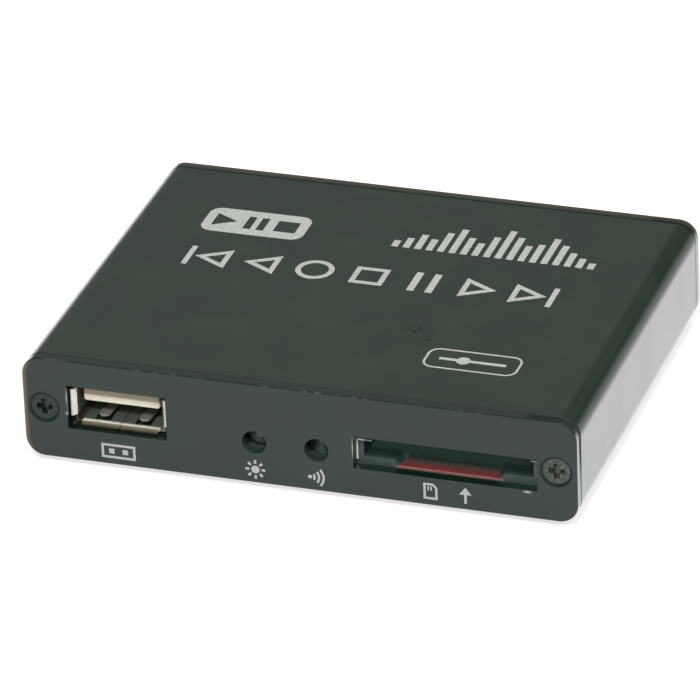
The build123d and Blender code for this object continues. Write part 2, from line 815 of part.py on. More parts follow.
def hdmi_insulator():
    """The block behind the mouth and its thin tongue, with one slot for each contact row."""
    outline = offset(hdmi_outline(0), amount=-hdmi_block_gap, kind=Kind.INTERSECTION)
    body = along_depth(outline, hdmi_block_back, hdmi_block_front)
    tongue_z = span(hdmi_z, hdmi_tongue_thickness)
    body += block(span(hdmi_x, hdmi_tongue_width), (hdmi_block_back, hdmi_mouth - hdmi_tongue_recess), tongue_z)
    for level, _, count in hdmi_rows():
        width = count * hdmi_contact_pitch
        high = hdmi_contact_thickness / 2 + (hdmi_row_gap if level > hdmi_z else 0)
        low = hdmi_contact_thickness / 2 + (hdmi_row_gap if level < hdmi_z else 0)
        slot_y = (hdmi_block_back - overrun, hdmi_block_front + overrun)
        body -= block(span(hdmi_x, width), slot_y, (level - low, level + high))
    return body


def hdmi_contacts():
    """Both rows of contact strips on the tongue, with their tails down to the board."""
    strips = []
    start = hdmi_mouth - hdmi_tongue_recess - hdmi_contact_start
    flat = board_top + hdmi_contact_thickness / 2
    for level, drop, count in hdmi_rows():
        fall = hdmi_block_back - drop
        line = [(start, level), (fall, level), (fall, flat), (fall - hdmi_contact_foot, flat)]
        for index in range(count):
            x = hdmi_x + (index - (count - 1) / 2) * hdmi_contact_pitch
            strips.append(strip_along_depth(line, hdmi_contact_thickness, span(x, hdmi_contact_width)))
    return group(strips)


# AV and power sockets

def av_jack_body():
    body = block(span(av_x, av_width), (av_back, av_front), span(av_z, av_height))
    body += aimed(1, av_x, av_front, av_z) * rod(av_nose_radius, av_nose_length)
    bore = rod(av_bore_radius, av_length + av_nose_length - av_end_wall + overrun)
    return body - aimed(1, av_x, av_back + av_end_wall, av_z) * bore


def av_jack_contacts():
    """Four L strips, each against a side of the body with a foot on the board."""
    strips = []
    flat = board_top + av_contact_thickness / 2
    for side in (-1, 1):
        face = av_x + side * (av_width + av_contact_thickness) / 2
        line = [(face + side * av_contact_reach, flat), (face, flat), (face, flat + av_contact_height)]
        for share in av_contact_shares:
            y = span(av_back + share * av_length, av_contact_width)
            strips.append(strip_along_width(line, av_contact_thickness, y))
    return group(strips)


def dc_jack_body():
    body = block(span(dc_x, dc_width), (dc_back, dc_front), span(dc_z, dc_height))
    body += aimed(1, dc_x, dc_front, dc_z) * rod(dc_nose_radius, dc_nose_length)
    body -= aimed(-1, dc_x, dc_mouth, dc_z) * rod(dc_bore_radius, dc_bore_depth)
    hole = rod(dc_pin_root_radius + dc_pin_gap, dc_length + dc_nose_length + overrun)
    return body - aimed(-1, dc_x, dc_mouth, dc_z) * hole


def dc_jack_pin():
    """The centre pin, its thicker root in the body's back wall, and the tab that goes down through the board."""
    tab_y = (dc_back - dc_tab_thickness, dc_back)
    bore_end = dc_mouth - dc_bore_depth
    pin = block(span(dc_x, dc_tab_width), tab_y, (lead_end, dc_z + dc_tab_width / 2))
    pin += aimed(1, dc_x, tab_y[0], dc_z) * rod(dc_pin_root_radius, bore_end - tab_y[0])
    return pin + aimed(1, dc_x, bore_end, dc_z) * rod(dc_pin_radius, dc_bore_depth - dc_pin_recess)


def dc_jack_contacts():
    """The sleeve contacts: a flat tab against each side of the body, down through the board."""
    tabs = []
    y = span(dc_back + dc_side_tab_share * dc_length, dc_tab_width)
    for side in (-1, 1):
        face = dc_x + side * dc_width / 2
        tabs.append(block(sorted((face, face + side * dc_contact_thickness)), y, (lead_end, dc_z)))
    return group(tabs)


# Status light and remote receiver

def led_lens():
    """A round lens with a shallow dome in front."""
    dome = Pos(led_x, led_front + led_dome_radius, light_z) * Sphere(led_dome_radius)
    front_part = aimed(1, led_x, led_front, light_z) * rod(led_radius, led_dome_radius)
    back_part = aimed(-1, led_x, led_back, light_z) * rod(led_radius, led_length - led_dome_radius)
    return (front_part & dome) + back_part


def led_leads():
    fall = led_back + led_lead_run
    line = [(led_back, light_z), (fall, light_z), (fall, lead_end)]
    xs = [span(led_x + side * led_lead_pitch / 2, led_lead_size) for side in (-1, 1)]
    return group(strip_along_depth(line, led_lead_size, x) for x in xs)


def ir_receiver():
    """A bevelled block with a half-round lens down its front."""
    face = ir_front + ir_lens_radius
    body = block(span(ir_x, ir_width), (face, ir_back), (ir_bottom, ir_bottom + ir_height))
    body = chamfer(body.edges().filter_by(Axis.Z).group_by(Axis.Y)[0], ir_corner_bevel)
    lens = Pos(ir_x, face, light_z - ir_lens_height / 2) * rod(ir_lens_radius, ir_lens_height)
    return body + lens


def ir_leads():
    level = ir_bottom + ir_lead_height
    fall = ir_back + ir_lead_run
    line = [(ir_back, level), (fall, level), (fall, lead_end)]
    xs = [span(ir_x + index * ir_lead_pitch, ir_lead_size) for index in (-1, 0, 1)]
    return group(strip_along_depth(line, ir_lead_size, x) for x in xs)


# Chips and other parts on the board

def gull_lead(width):
    """One bent lead that leaves a chip's side at the origin towards +X and ends flat on the board."""
    level = chip_standoff + chip_lead_reach * chip_lead_foot_share
    flat = chip_lead_thickness / 2
    heel = chip_lead_reach * (1 - chip_lead_foot_share)
    line = [(-chip_lead_thickness, level), (heel, flat), (chip_lead_reach, flat)]
    return strip_along_width(line, chip_lead_thickness, span(0, width))


def chip(width, length, height, sides, leads, pitch, lead_width):
    """A moulded chip at the origin: a bevelled body and gull-wing leads on the sides listed, in degrees."""
    body = block(span(0, width), span(0, length), (chip_standoff, chip_standoff + height))
    body = chamfer(body.edges().group_by(Axis.Z)[-1], chip_edge_bevel)
    lead = gull_lead(lead_width)
    for turn in sides:
        reach = width / 2 if turn % 180 == 0 else length / 2
        row = [Pos(reach, (index - (leads - 1) / 2) * pitch, 0) * lead for index in range(leads)]
        body += [Rot(0, 0, turn) * item for item in row]
    return body


def behind_card_socket(shares):
    """Places across the width of the card socket, for the row of power parts behind it."""
    return [sd_left + share * (sd_right - sd_left) for share in shares]


def between_rear_sockets():
    """Places in the gap between the HDMI socket and the power socket."""
    left = hdmi_x + hdmi_width / 2 + hdmi_sheet
    right = dc_x - dc_width / 2 - dc_contact_thickness
    return [left + share * (right - left) for share in capacitor_row_shares]


def set_on_board(shape, shares):
    x, y = on_board(shares)
    return Pos(x, y, board_top) * shape


def main_processor():
    shape = chip(processor_size, processor_size, processor_height, (0, 90, 180, 270), processor_lead_count,
                 processor_lead_pitch, chip_lead_width)
    return set_on_board(shape, processor_place_shares)


def memory_chip():
    """The memory, to the left of the processor."""
    shape = chip(memory_width, memory_length, memory_height, (0, 180), memory_lead_count, memory_lead_pitch, chip_lead_width)
    x, y = on_board(processor_place_shares)
    x -= processor_size / 2 + memory_gap + memory_width / 2 + 2 * chip_lead_reach
    return Pos(x, y, board_top) * shape


def in_front_of_processor(side, width, length):
    """The middle of a piece in front of the processor, left of its centre line for -1 and right of it for 1."""
    x, y = on_board(processor_place_shares)
    front = y - processor_size / 2 - chip_lead_reach
    return x + side * (front_row_gap + width) / 2, front - front_row_gap - length / 2


def flash_chip():
    shape = chip(flash_width, flash_length, flash_height, (0, 180), flash_lead_count, flash_lead_pitch, chip_lead_width)
    x, y = in_front_of_processor(1, flash_width + 2 * chip_lead_reach, flash_length)
    return Pos(x, y, board_top) * shape


def crystal():
    """A flat can with round ends, lying lengthwise."""
    can = extrude(Rot(0, 0, 90) * SlotOverall(crystal_length, crystal_width), amount=crystal_height)
    x, y = in_front_of_processor(-1, crystal_width, crystal_length)
    return Pos(x, y, board_top) * can


def voltage_regulators():
    """Power packages with three leads on one side and a wide tab on the other."""
    body = chip(regulator_width, regulator_length, regulator_height, (0,), regulator_lead_count, regulator_lead_pitch,
                regulator_lead_width)
    tab = Pos(-regulator_width / 2, 0, 0) * Rot(0, 0, 180) * gull_lead(regulator_tab_width)
    return group(Pos(x, power_row_y, board_top) * (body + tab) for x in behind_card_socket(regulator_row_shares))


def power_inductors():
    core = block(span(0, inductor_size), span(0, inductor_size), (0, inductor_height))
    core = chamfer(core.edges().filter_by(Axis.Z), inductor_bevel)
    return group(Pos(x, power_row_y, board_top) * core for x in behind_card_socket(inductor_row_shares))


def capacitor_cans():
    can = rod(capacitor_radius, capacitor_height)
    level = board_top + capacitor_base_height
    return group(Pos(x, capacitor_y, level) * can for x in between_rear_sockets())


def capacitor_bases():
    """Moulded square bases with two bevelled corners."""
    base = block(span(0, capacitor_base_size), span(0, capacitor_base_size), (0, capacitor_base_height))
    base = chamfer(base.edges().filter_by(Axis.Z).group_by(Axis.X)[-1], capacitor_base_bevel)
    return group(Pos(x, capacitor_y, board_top) * base for x in between_rear_sockets())


def chip_passives():
    """Rows of small resistors and capacitors."""
    pieces = []
    for count, shares in zip(passive_row_counts, passive_row_shares):
        for index in range(count):
            place = (shares[0] + index * passive_pitch_share, shares[1])
            body = block(span(0, passive_width), span(0, passive_length), (0, passive_height))
            pieces.append(set_on_board(body, place))
    return group(pieces)


# Board

def board_slot(x, y):
    """A slot through the board, clear of the tab that passes it."""
    wide = (x[0] - lead_gap, x[1] + lead_gap)
    long = (y[0] - lead_gap, y[1] + lead_gap)
    return block(wide, long, (board_bottom - overrun, board_top + overrun))


def tab_slots():
    """Slots for the solder tabs of the sockets."""
    slots = []
    for side in (-1, 1):
        usb = sorted((usb_x + side * usb_half, usb_x + side * (usb_half - usb_sheet)))
        slots.append(board_slot(usb, span(usb_leg_y, usb_leg_width)))
        hdmi = sorted((hdmi_x + side * hdmi_width / 2, hdmi_x + side * (hdmi_width / 2 + hdmi_sheet)))
        for setback in hdmi_leg_setbacks:
            slots.append(board_slot(hdmi, span(hdmi_back + setback, hdmi_leg_width)))
        face = dc_x + side * dc_width / 2
        dc = sorted((face, face + side * dc_contact_thickness))
        slots.append(board_slot(dc, span(dc_back + dc_side_tab_share * dc_length, dc_tab_width)))
    slots.append(board_slot(span(dc_x, dc_tab_width), (dc_back - dc_tab_thickness, dc_back)))
    return slots


def lead_holes():
    """Round holes for the leads of the light, the receiver and the USB contacts: place and lead size."""
    holes = [(usb_x + pitch, usb_pin_y, usb_contact_width) for pitch in usb_contact_pitches]
    led_y = led_back + led_lead_run
    holes += [(led_x + side * led_lead_pitch / 2, led_y, led_lead_size * 2 ** 0.5) for side in (-1, 1)]
    ir_y = ir_back + ir_lead_run
    holes += [(ir_x + index * ir_lead_pitch, ir_y, ir_lead_size * 2 ** 0.5) for index in (-1, 0, 1)]
    drill = board_thickness + 2 * overrun
    outlines = [(x, y, RegularPolygon(size / 2 + lead_gap, hole_side_count, major_radius=False)) for x, y, size in holes]
    return [Pos(x, y, board_bottom - overrun) * extrude(outline, amount=drill) for x, y, outline in outlines]


def main_board():
    board = block((-board_half, board_half), (board_front, board_back), (board_bottom, board_top))
    return board - tab_slots() - lead_holes()


pieces = {
    "housing_sleeve": housing_sleeve(),
    "front_panel": front_panel(),
    "rear_panel": rear_panel(),
    "front_screws": panel_screws(front_face, 1),
    "rear_screws": panel_screws(rear_face, -1),
    "rubber_feet": rubber_feet(),
    "main_board": main_board(),
    "usb_shell": usb_shell(),
    "usb_insulator": usb_insulator(),
    "usb_contacts": usb_contacts(),
    "sd_base": sd_base(),
    "sd_cover": sd_cover(),
    "sd_contacts": sd_contacts(),
    "sd_slider": sd_slider(),
    "sd_eject_spring": sd_eject_spring(),
    "sd_latch_wire": sd_latch_wire(),
    "hdmi_shell": hdmi_shell(),
    "hdmi_insulator": hdmi_insulator(),
    "hdmi_contacts": hdmi_contacts(),
    "av_jack_body": av_jack_body(),
    "av_jack_contacts": av_jack_contacts(),
    "dc_jack_body": dc_jack_body(),
    "dc_jack_pin": dc_jack_pin(),
    "dc_jack_contacts": dc_jack_contacts(),
    "led_lens": led_lens(),
    "led_leads": led_leads(),
    "ir_receiver": ir_receiver(),
    "ir_leads": ir_leads(),
    "main_processor": main_processor(),
    "memory_chip": memory_chip(),
    "flash_chip": flash_chip(),
    "crystal": crystal(),
    "voltage_regulators": voltage_regulators(),
    "power_inductors": power_inductors(),
    "capacitor_cans": capacitor_cans(),
    "capacitor_bases": capacitor_bases(),
    "chip_passives": chip_passives(),
}

os.makedirs("parts", exist_ok=True)
for name, shape in pieces.items():
    export_step(shape, f"parts/{name}.step")
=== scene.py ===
import bpy
import math
from mathutils import Matrix, Vector


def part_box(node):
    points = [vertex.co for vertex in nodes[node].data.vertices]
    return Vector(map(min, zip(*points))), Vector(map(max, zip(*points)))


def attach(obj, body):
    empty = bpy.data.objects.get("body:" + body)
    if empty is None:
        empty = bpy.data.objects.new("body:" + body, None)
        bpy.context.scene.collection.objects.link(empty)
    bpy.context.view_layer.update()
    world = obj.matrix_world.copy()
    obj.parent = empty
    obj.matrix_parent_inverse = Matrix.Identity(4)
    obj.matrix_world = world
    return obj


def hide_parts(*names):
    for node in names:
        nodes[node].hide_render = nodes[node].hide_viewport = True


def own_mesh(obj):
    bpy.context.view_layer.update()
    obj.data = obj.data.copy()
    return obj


# Looks for a pocket media player in a dark anodised case. Metres, in the frame of the CAD:
# X to the right seen from the front, Y to the rear, Z up.

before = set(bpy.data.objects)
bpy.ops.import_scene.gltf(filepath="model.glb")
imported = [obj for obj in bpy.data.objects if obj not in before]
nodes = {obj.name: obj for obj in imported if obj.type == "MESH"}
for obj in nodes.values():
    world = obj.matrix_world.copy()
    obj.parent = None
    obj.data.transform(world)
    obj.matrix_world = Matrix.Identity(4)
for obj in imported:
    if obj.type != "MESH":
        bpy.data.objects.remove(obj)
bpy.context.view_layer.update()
mm = 0.001


def middle(node):
    low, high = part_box(node)
    return (low + high) / 2


def ramp(level, start, end):
    """The places where a mask begins and where it is full, given by their distances in mm from a level."""
    return level + start * mm, level + end * mm


# Levels of the case that the prints, the wear and the painted shadow follow
sleeve_low, sleeve_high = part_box("housing_sleeve")
panel_low, panel_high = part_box("front_panel")
top = sleeve_high.z
front = panel_low.y
front_seam = sleeve_low.y
rear_seam = sleeve_high.y
corner_radius = 2.8 * mm
round_end = top - corner_radius

# Sockets, screws and board, seen in the front
socket_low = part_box("sd_base")[0]
shell_low, shell_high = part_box("usb_shell")
tongue_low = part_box("usb_insulator")[0]
board_low, board_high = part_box("main_board")
screw_head_radius = 1.95 * mm
screw_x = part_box("front_screws")[1].x - screw_head_radius
screw_z = (panel_low.z + panel_high.z) / 2

# Finger notch of the card socket, through which the board shows
notch_shift = 0.26 * mm
notch_middle = middle("sd_base").x - notch_shift
notch_half = 7.6 * mm
notch_soft = 0.3 * mm

# Print on the case: places and sizes
ink_thickness = 0.02 * mm
stroke = 0.8 * mm
badge_centre = (-21.1 * mm, 14.9 * mm)
badge_size = (15.4 * mm, 7.2 * mm)
badge_corner = 1.8 * mm
badge_symbol_height = 3.8 * mm
badge_symbol_pitch = 4.6 * mm
transport_centre = (-0.4 * mm, 3.4 * mm)
transport_height = 5.6 * mm
transport_pitch = 8.1 * mm
level_bars_corner = (0.2 * mm, 13.0 * mm)
level_bar_width = 1.0 * mm
level_bar_pitch = 1.7 * mm
level_bar_full = 8.6 * mm
level_bar_shares = (
    0.22, 0.35, 0.52, 0.4, 0.68, 0.86, 0.6, 0.45, 0.72,
    1.0, 0.8, 0.55, 0.64, 0.9, 0.7, 0.48, 0.33, 0.2,
)
pill_centre = (21.2 * mm, -17.5 * mm)
pill_size = (13.6 * mm, 5.6 * mm)
pill_corner = 1.7 * mm
pill_stroke = 0.32 * mm
pill_line_length = 9.6 * mm
pill_knob_radius = 1.0 * mm
pill_knob_share = 0.36
label_height = 2.5 * mm
label_stroke = 0.36 * mm
label_rise = 3.3 * mm
card_label_rise = 3.4 * mm
light_rays = 8
wave_half_angle = math.pi / 4.5
curve_steps = 40

# Painted shadow in the seams between the sleeve and the panels. At the front it is painted wider on the
# sides, more so towards the top
seam_width = 0.3 * mm
front_seam_top_share = 0.35
rear_seam_share = 0.22
side_seam_shade_width = 0.8 * mm
sleeve_side_shade_z = ramp(0, 3, 11)
panel_side_shade_z = ramp(0, 4, 13)

# Sleeve: where the rounded edges are duller, and fingermarks on the top by X, Y and radius
shoulder_z = ramp(round_end, -0.7, 0.9)
shoulder_facing = (0.85, 0.55)
shoulder_share = 0.88
shoulder_rough = 0.5
fingermark_grain = 1.1 * mm
fingermark_spread = (0.42, 0.56)
fingermarks = (
    (10.7 * mm, -10.5 * mm, 2.2 * mm),
    (13.6 * mm, -12.8 * mm, 1.6 * mm),
    (20.8 * mm, -21.1 * mm, 0.9 * mm),
)

# Panels: dull upper edge at the right, brown left rim and rear edge. Screw sinks and round holes are spots
# that are cut off between two of their levels. The walls of the round holes are painted lighter, as painted
# light
dull_edge_x = ramp(panel_high.x, -8, -6)
dull_edge_z = ramp(top, -2.4, -1.2)
rubbed_x = ramp(panel_low.x, 1.6, 0.3)
rubbed_y = ramp(front, 0.8, 0.3)
rubbed_reach = 0.9 * mm
rear_edge_y = ramp(rear_seam, 0.2, 1.0)
rear_edge_share = 0.3
sink_reach = 4 * mm
sink_edge = (0.28, 0.4)
bore_reach = 5 * mm
bore_edge = (0.3, 0.4)
panel_face_coat = 0.06
panel_dull_rough = 0.6

# Chips on the front panel's edges: X and Z of the middle, and how far each reaches across and up
chip_depth = 0.3 * mm
chips = (
    ((32.85 * mm, 5.24 * mm), (0.85 * mm, 0.3 * mm)),
    ((socket_low.x - 0.25 * mm, 8.6 * mm), (0.14 * mm, 2.2 * mm)),
    ((shell_low.x - 0.25 * mm, 10.9 * mm), (0.16 * mm, 1.6 * mm)),
    ((shell_low.x - 0.3 * mm, 8.4 * mm), (0.3 * mm, 0.4 * mm)),
)

# Specks along the front panel's upper edge, in some stretches of it
speck_z = ramp(top, -1.0, -0.4)
speck_reach = 0.2 * mm
speck_grain = 0.6 * mm
speck_spread = (0.55, 0.66)
speck_share = 0.25
stretch_grain = 14 * mm
stretch_spread = (0.4, 0.6)

# Painted light: the screws are paler towards the right
screw_light_x = ramp(0, -20, 20)

# Board: painted shade on a front margin, and in the notch a red strip with painted shade inwards and a
# painted highlight along its front edge
board_track_size = 1.6 * mm
board_track_spread = (0.30, 0.34)
board_shade_margin_y = ramp(board_low.y, 16, 14)
board_notch_shade_y = ramp(board_low.y, 0.3, 2.6)
board_notch_shade_share = 0.9
board_edge_shade_reach = 0.03 * mm
board_highlight_depth = 0.3 * mm
board_highlight_height = 0.4 * mm

# USB shell: flared lips, the floor with its lower lip, the inside and its springs, and the lower left corner;
# painted shade on the right lip, the inside and the corner, and painted highlight and shade on the lower
# lip's roll
shell_lip_y = ramp(shell_low.y, 0.85, 0.6)
shell_floor_z = ramp(0, 7.3, 7.1)
shell_floor_lip_y = ramp(shell_low.y, 1.3, 1.15)
shell_roll_shading_y = ramp(shell_low.y, 0.6, 0)
shell_right_shade_x = ramp(shell_high.x, -1.4, -1.2)
shell_right_shade_y = ramp(shell_low.y, 0.2, 0.35)
shell_inside_shade_y = ramp(shell_low.y, 1.2, 1.6)
shell_inner_rough = 0.55
shell_spring_reach = (2.15 * mm, 3.75 * mm)
shell_spring_soft = 0.04 * mm
shell_corner_shade_x = ramp(shell_low.x, 1.5, 1.3)
shell_corner_shade_z = ramp(0, 7.8, 7.6)

# Painted shadow on the USB tongue, painted light on the card socket's lips and deep inside, and the bright
# cut edge of its cover
tongue_shadow_z = ramp(0, 10.4, 10.75)
tongue_shadow_y = ramp(tongue_low.y, 2.5, 0.5)
card_lit_lips_y = ramp(socket_low.y, 0.2, 0.9)
card_deep_light_y = ramp(socket_low.y, 1.6, 4.2)
cover_cut_y = ramp(socket_low.y, 0.16, 0.08)
cover_cut_x = ramp(socket_low.x, 1.0, 0.6)

# Noise levels between which colour and roughness change
tone_spread = (0.35, 0.7)
rough_spread = (0.3, 0.7)

# How squarely a surface faces an axis where a mask for a face or for a steep side begins and is full
face_spread = (0.3, 0.9)
steep_spread = (0.6, 0.9)

# Camera, fitted to the outline of the case in the photograph
camera_aim = Vector((-1.991 * mm, -1.649 * mm, 7.192 * mm))
camera_distance = 932.0 * mm
camera_azimuth = math.radians(18.981)
camera_elevation = math.radians(28.099)
camera_roll = math.radians(-2.206)
camera_sensor = 36.0
camera_focal_px = 6608.4
camera_clip = (0.01, 20)
image_width_px = 700

# Stage: a floor, a dim room and its walls, each by its direction and the cosines where it begins and is full
floor_size = 6.0
floor_colour = (0.5, 0.5, 0.495)
floor_drop = 0.02 * mm
floor_glow = 0.68
room_level = 0.06
wall_level = 0.2
walls = (
    ((-0.4, 0.8, 0.45), (0.92, 0.99)),
    ((0.1, -0.9, 0.4), (0.7, 0.97)),
)

# Lamps: name, place, size, power, and whether mirrors show it
lamps = (
    ("overhead_soft", (0.5, 0.1, 1.5), 2.4, 22.0, True),
    ("front_soft", (0.2, -1.02, 1.06), 0.25, 16.0, False),
    ("camera_side_fill", (0.45, -1.2, 0.65), 0.5, 3.0, False),
)


def linear(*levels):
    """A colour given in display levels of 0 to 255, as the linear values that a shader takes."""
    shares = [level / 255 for level in levels]
    return [s / 12.92 if s <= 0.04045 else ((s + 0.055) / 1.055) ** 2.4 for s in shares]


class Tree:
    """Short ways to add nodes to the node tree of a material or of the world."""

    def __init__(self, tree, coordinates):
        self.tree = tree
        self.place = self.add("ShaderNodeTexCoord", coordinates, {})

    def put(self, socket, value):
        """Links an output to a socket, or sets the socket's own value."""
        if isinstance(value, bpy.types.NodeSocket):
            self.tree.links.new(value, socket)
        elif socket.type == "RGBA":
            socket.default_value = (*value, 1)
        else:
            socket.default_value = value

    def add(self, kind, output, inputs, **settings):
        """One output of a new node."""
        node = self.tree.nodes.new(kind)
        for name, value in settings.items():
            setattr(node, name, value)
        for key, value in inputs.items():
            self.put(node.inputs[key], value)
        return node.outputs[output]

    def calculate(self, operation, first, second=0.0):
        return self.add("ShaderNodeMath", 0, {0: first, 1: second}, operation=operation)

    def vector(self, operation, output, first, second=(0, 0, 0)):
        return self.add("ShaderNodeVectorMath", output, {0: first, 1: second}, operation=operation)

    def chain(self, operation, values):
        """Several values joined one after another by the same operation."""
        result = values[0]
        for value in values[1:]:
            result = self.calculate(operation, result, value)
        return result

    def largest(self, *values):
        return self.chain("MAXIMUM", values)

    def all(self, *masks):
        """The product of several masks."""
        return self.chain("MULTIPLY", masks)

    def rise(self, value, low, high, out_low=0.0, out_high=1.0):
        """The value mapped from one range to another, smoothly and within the ends."""
        ends = {"Value": value, "From Min": low, "From Max": high, "To Min": out_low, "To Max": out_high}
        return self.add("ShaderNodeMapRange", 0, ends, interpolation_type="SMOOTHSTEP")


class Shader(Tree):
    """A material with one principled surface, and the masks and textures that drive it."""

    def __init__(self, name, **constants):
        self.material = bpy.data.materials.new(name)
        self.material.use_nodes = True
        super().__init__(self.material.node_tree, "Object")
        self.surface = self.tree.nodes["Principled BSDF"]
        for socket, value in constants.items():
            self.drive(socket.replace("_", " "), value)

    def drive(self, socket, value):
        self.put(self.surface.inputs[socket], value)

    def colour(self, value):
        self.drive("Base Color", value)

    def rough(self, value):
        self.drive("Roughness", value)

    def rough_by(self, noise, low, high):
        """Roughness between two values, after a noise."""
        self.rough(self.rise(noise, *rough_spread, low, high))

    def bump(self, height, depth):
        normal = self.add("ShaderNodeBump", 0, {"Height": height, "Distance": depth, "Strength": 1.0})
        self.drive("Normal", normal)

    def noise(self, grain, detail=3.0, stretch=(1, 1, 1)):
        """Noise with features about as long as the grain, in metres, times the stretch on each axis."""
        scale = [1 / (grain * s) for s in stretch]
        spot = self.add("ShaderNodeMapping", 0, {"Vector": self.place, "Scale": scale})
        return self.add("ShaderNodeTexNoise", 0, {"Vector": spot, "Scale": 1.0, "Detail": detail})

    def cells(self, size):
        spot = self.add("ShaderNodeMapping", 0, {"Vector": self.place, "Scale": [1 / size] * 3})
        return self.add("ShaderNodeTexVoronoi", 0, {"Vector": spot, "Scale": 1.0})

    def mix(self, share, first, second):
        """A colour between two others."""
        inputs = {"Factor": share, 6: first, 7: second}
        return self.add("ShaderNodeMix", 2, inputs, data_type="RGBA")

    def tones(self, noise, first, second, spread=tone_spread):
        """Two colours in patches, after a noise."""
        return self.mix(self.rise(noise, *spread), first, second)

    def part(self, vector, axis):
        """The X, Y or Z of a vector."""
        return self.add("ShaderNodeSeparateXYZ", axis, {"Vector": vector})

    def along(self, axis):
        """The X, Y or Z of the point that is shaded."""
        return self.part(self.place, axis)

    def facing(self, axis):
        """One where the surface faces along an axis, to either side, and zero where it is square to that."""
        normal = self.add("ShaderNodeNewGeometry", "Normal", {})
        return self.calculate("ABSOLUTE", self.part(normal, axis))

    def opposite(self, mask):
        return self.calculate("SUBTRACT", 1.0, mask)

    def inside(self, value, low, high, soft):
        """One between two levels, falling to zero over a soft width outside them."""
        return self.all(self.rise(value, low - soft, low), self.rise(value, high + soft, high))

    def distance(self, value, level):
        """How far a value is from a level, to either side."""
        return self.calculate("ABSOLUTE", self.calculate("SUBTRACT", value, level))

    def near(self, value, level, reach):
        """One at the level given, falling to zero at the reach on both sides of it."""
        return self.rise(self.distance(value, level), 0.0, reach, 1.0, 0.0)

    def spot(self, centre, radius):
        """One at a point of the case, falling to zero at the radius."""
        return self.rise(self.vector("DISTANCE", "Value", self.place, centre), 0.0, radius, 1.0, 0.0)

    def rim(self, low, high, radius, reach):
        """One on the outline of the case seen from the front, falling to zero at the reach inside it."""
        half = (high - low) / 2
        away = self.vector("SUBTRACT", "Vector", self.place, (low + high) / 2)
        away = self.vector("ABSOLUTE", "Vector", away)
        past = self.vector("SUBTRACT", "Vector", away, (half.x - radius, 1, half.z - radius))
        corner = self.vector("LENGTH", "Value", self.vector("MAXIMUM", "Vector", past))
        inner = self.calculate("MINIMUM", self.largest(self.part(past, "X"), self.part(past, "Z")))
        return self.rise(self.calculate("ADD", corner, inner), radius - reach, radius)


# Materials

bare_aluminium = linear(172, 175, 169)
edge_brown = linear(112, 90, 64)
seam_shadow = linear(24, 26, 24)
# Painted light: the walls of the panel's round holes are painted lighter than the oxide
hole_wall_light = linear(40, 55, 49)
nickel_pale = linear(236, 235, 228)
nickel_dull = linear(214, 213, 206)
moulding_flow_size = 3 * mm
moulding_stretch = (1, 3, 1)
moulding_grain = 0.14 * mm
drawn_line_size = 0.25 * mm
tarnish_size = 2.5 * mm
plate_stretch = (4, 40, 4)
plate_depth = 0.0001 * mm
dull_metallic = 0.2


def dyed_oxide(shader, dark, light):
    """Dark dyed anodising: cloudy tones under a fine blasted grain with faint lines along the extrusion."""
    cloud = shader.noise(9 * mm, detail=4.0)
    grain = shader.noise(0.16 * mm, detail=2.0)
    lines = shader.noise(0.22 * mm, detail=2.0, stretch=(1, 90, 1))
    shader.bump(shader.calculate("ADD", grain, lines), depth=0.001 * mm)
    return shader.tones(cloud, dark, light), shader.rise(cloud, *rough_spread, 0.28, 0.33)


def sleeve_finish():
    """The sleeve's oxide: dull seams with painted shadow at both ends, painted wider on the sides at the
    front, duller rounded edges and fingermarks on top.
    """
    shader = Shader("sleeve_anodised", IOR=1.65, Coat_IOR=1.6, Coat_Roughness=0.26)
    tone, gloss = dyed_oxide(shader, linear(18, 38, 25), linear(24, 44, 30))
    y = shader.along("Y")
    z = shader.along("Z")
    sideways = shader.facing("X")
    # Painted shadow in the seams; at the front it is painted wider on the sides, more so towards the top
    front_line = shader.inside(y, front_seam - seam_width, front_seam + seam_width, seam_width / 2)
    front_line = shader.all(front_line, shader.rise(sideways, 0.2, 0.9, front_seam_top_share, 1.0))
    side_seam_shade = shader.rise(y, front_seam + side_seam_shade_width, front_seam + side_seam_shade_width / 2)
    side_seam_shade = shader.all(side_seam_shade, shader.rise(sideways, *steep_spread), shader.rise(z, *sleeve_side_shade_z))
    rear_line = shader.inside(y, rear_seam - seam_width, rear_seam + seam_width, seam_width)
    seam = shader.largest(front_line, side_seam_shade, shader.all(rear_line, rear_seam_share))
    patchy = shader.rise(shader.noise(fingermark_grain, detail=2.0), *fingermark_spread)
    dull = seam
    for mark_x, mark_y, radius in fingermarks:
        dull = shader.largest(dull, shader.all(shader.spot((mark_x, mark_y, top), radius), patchy))
    shoulder = shader.rise(z, *shoulder_z, 0.0, shoulder_share)
    shoulder = shader.all(shoulder, shader.rise(shader.facing("Z"), *shoulder_facing))
    shader.colour(shader.mix(seam, tone, seam_shadow))
    shader.rough(shader.largest(gloss, dull, shader.all(shoulder, shoulder_rough)))
    shader.drive("Coat Weight", shader.opposite(shader.largest(dull, shoulder)))
    return shader.material


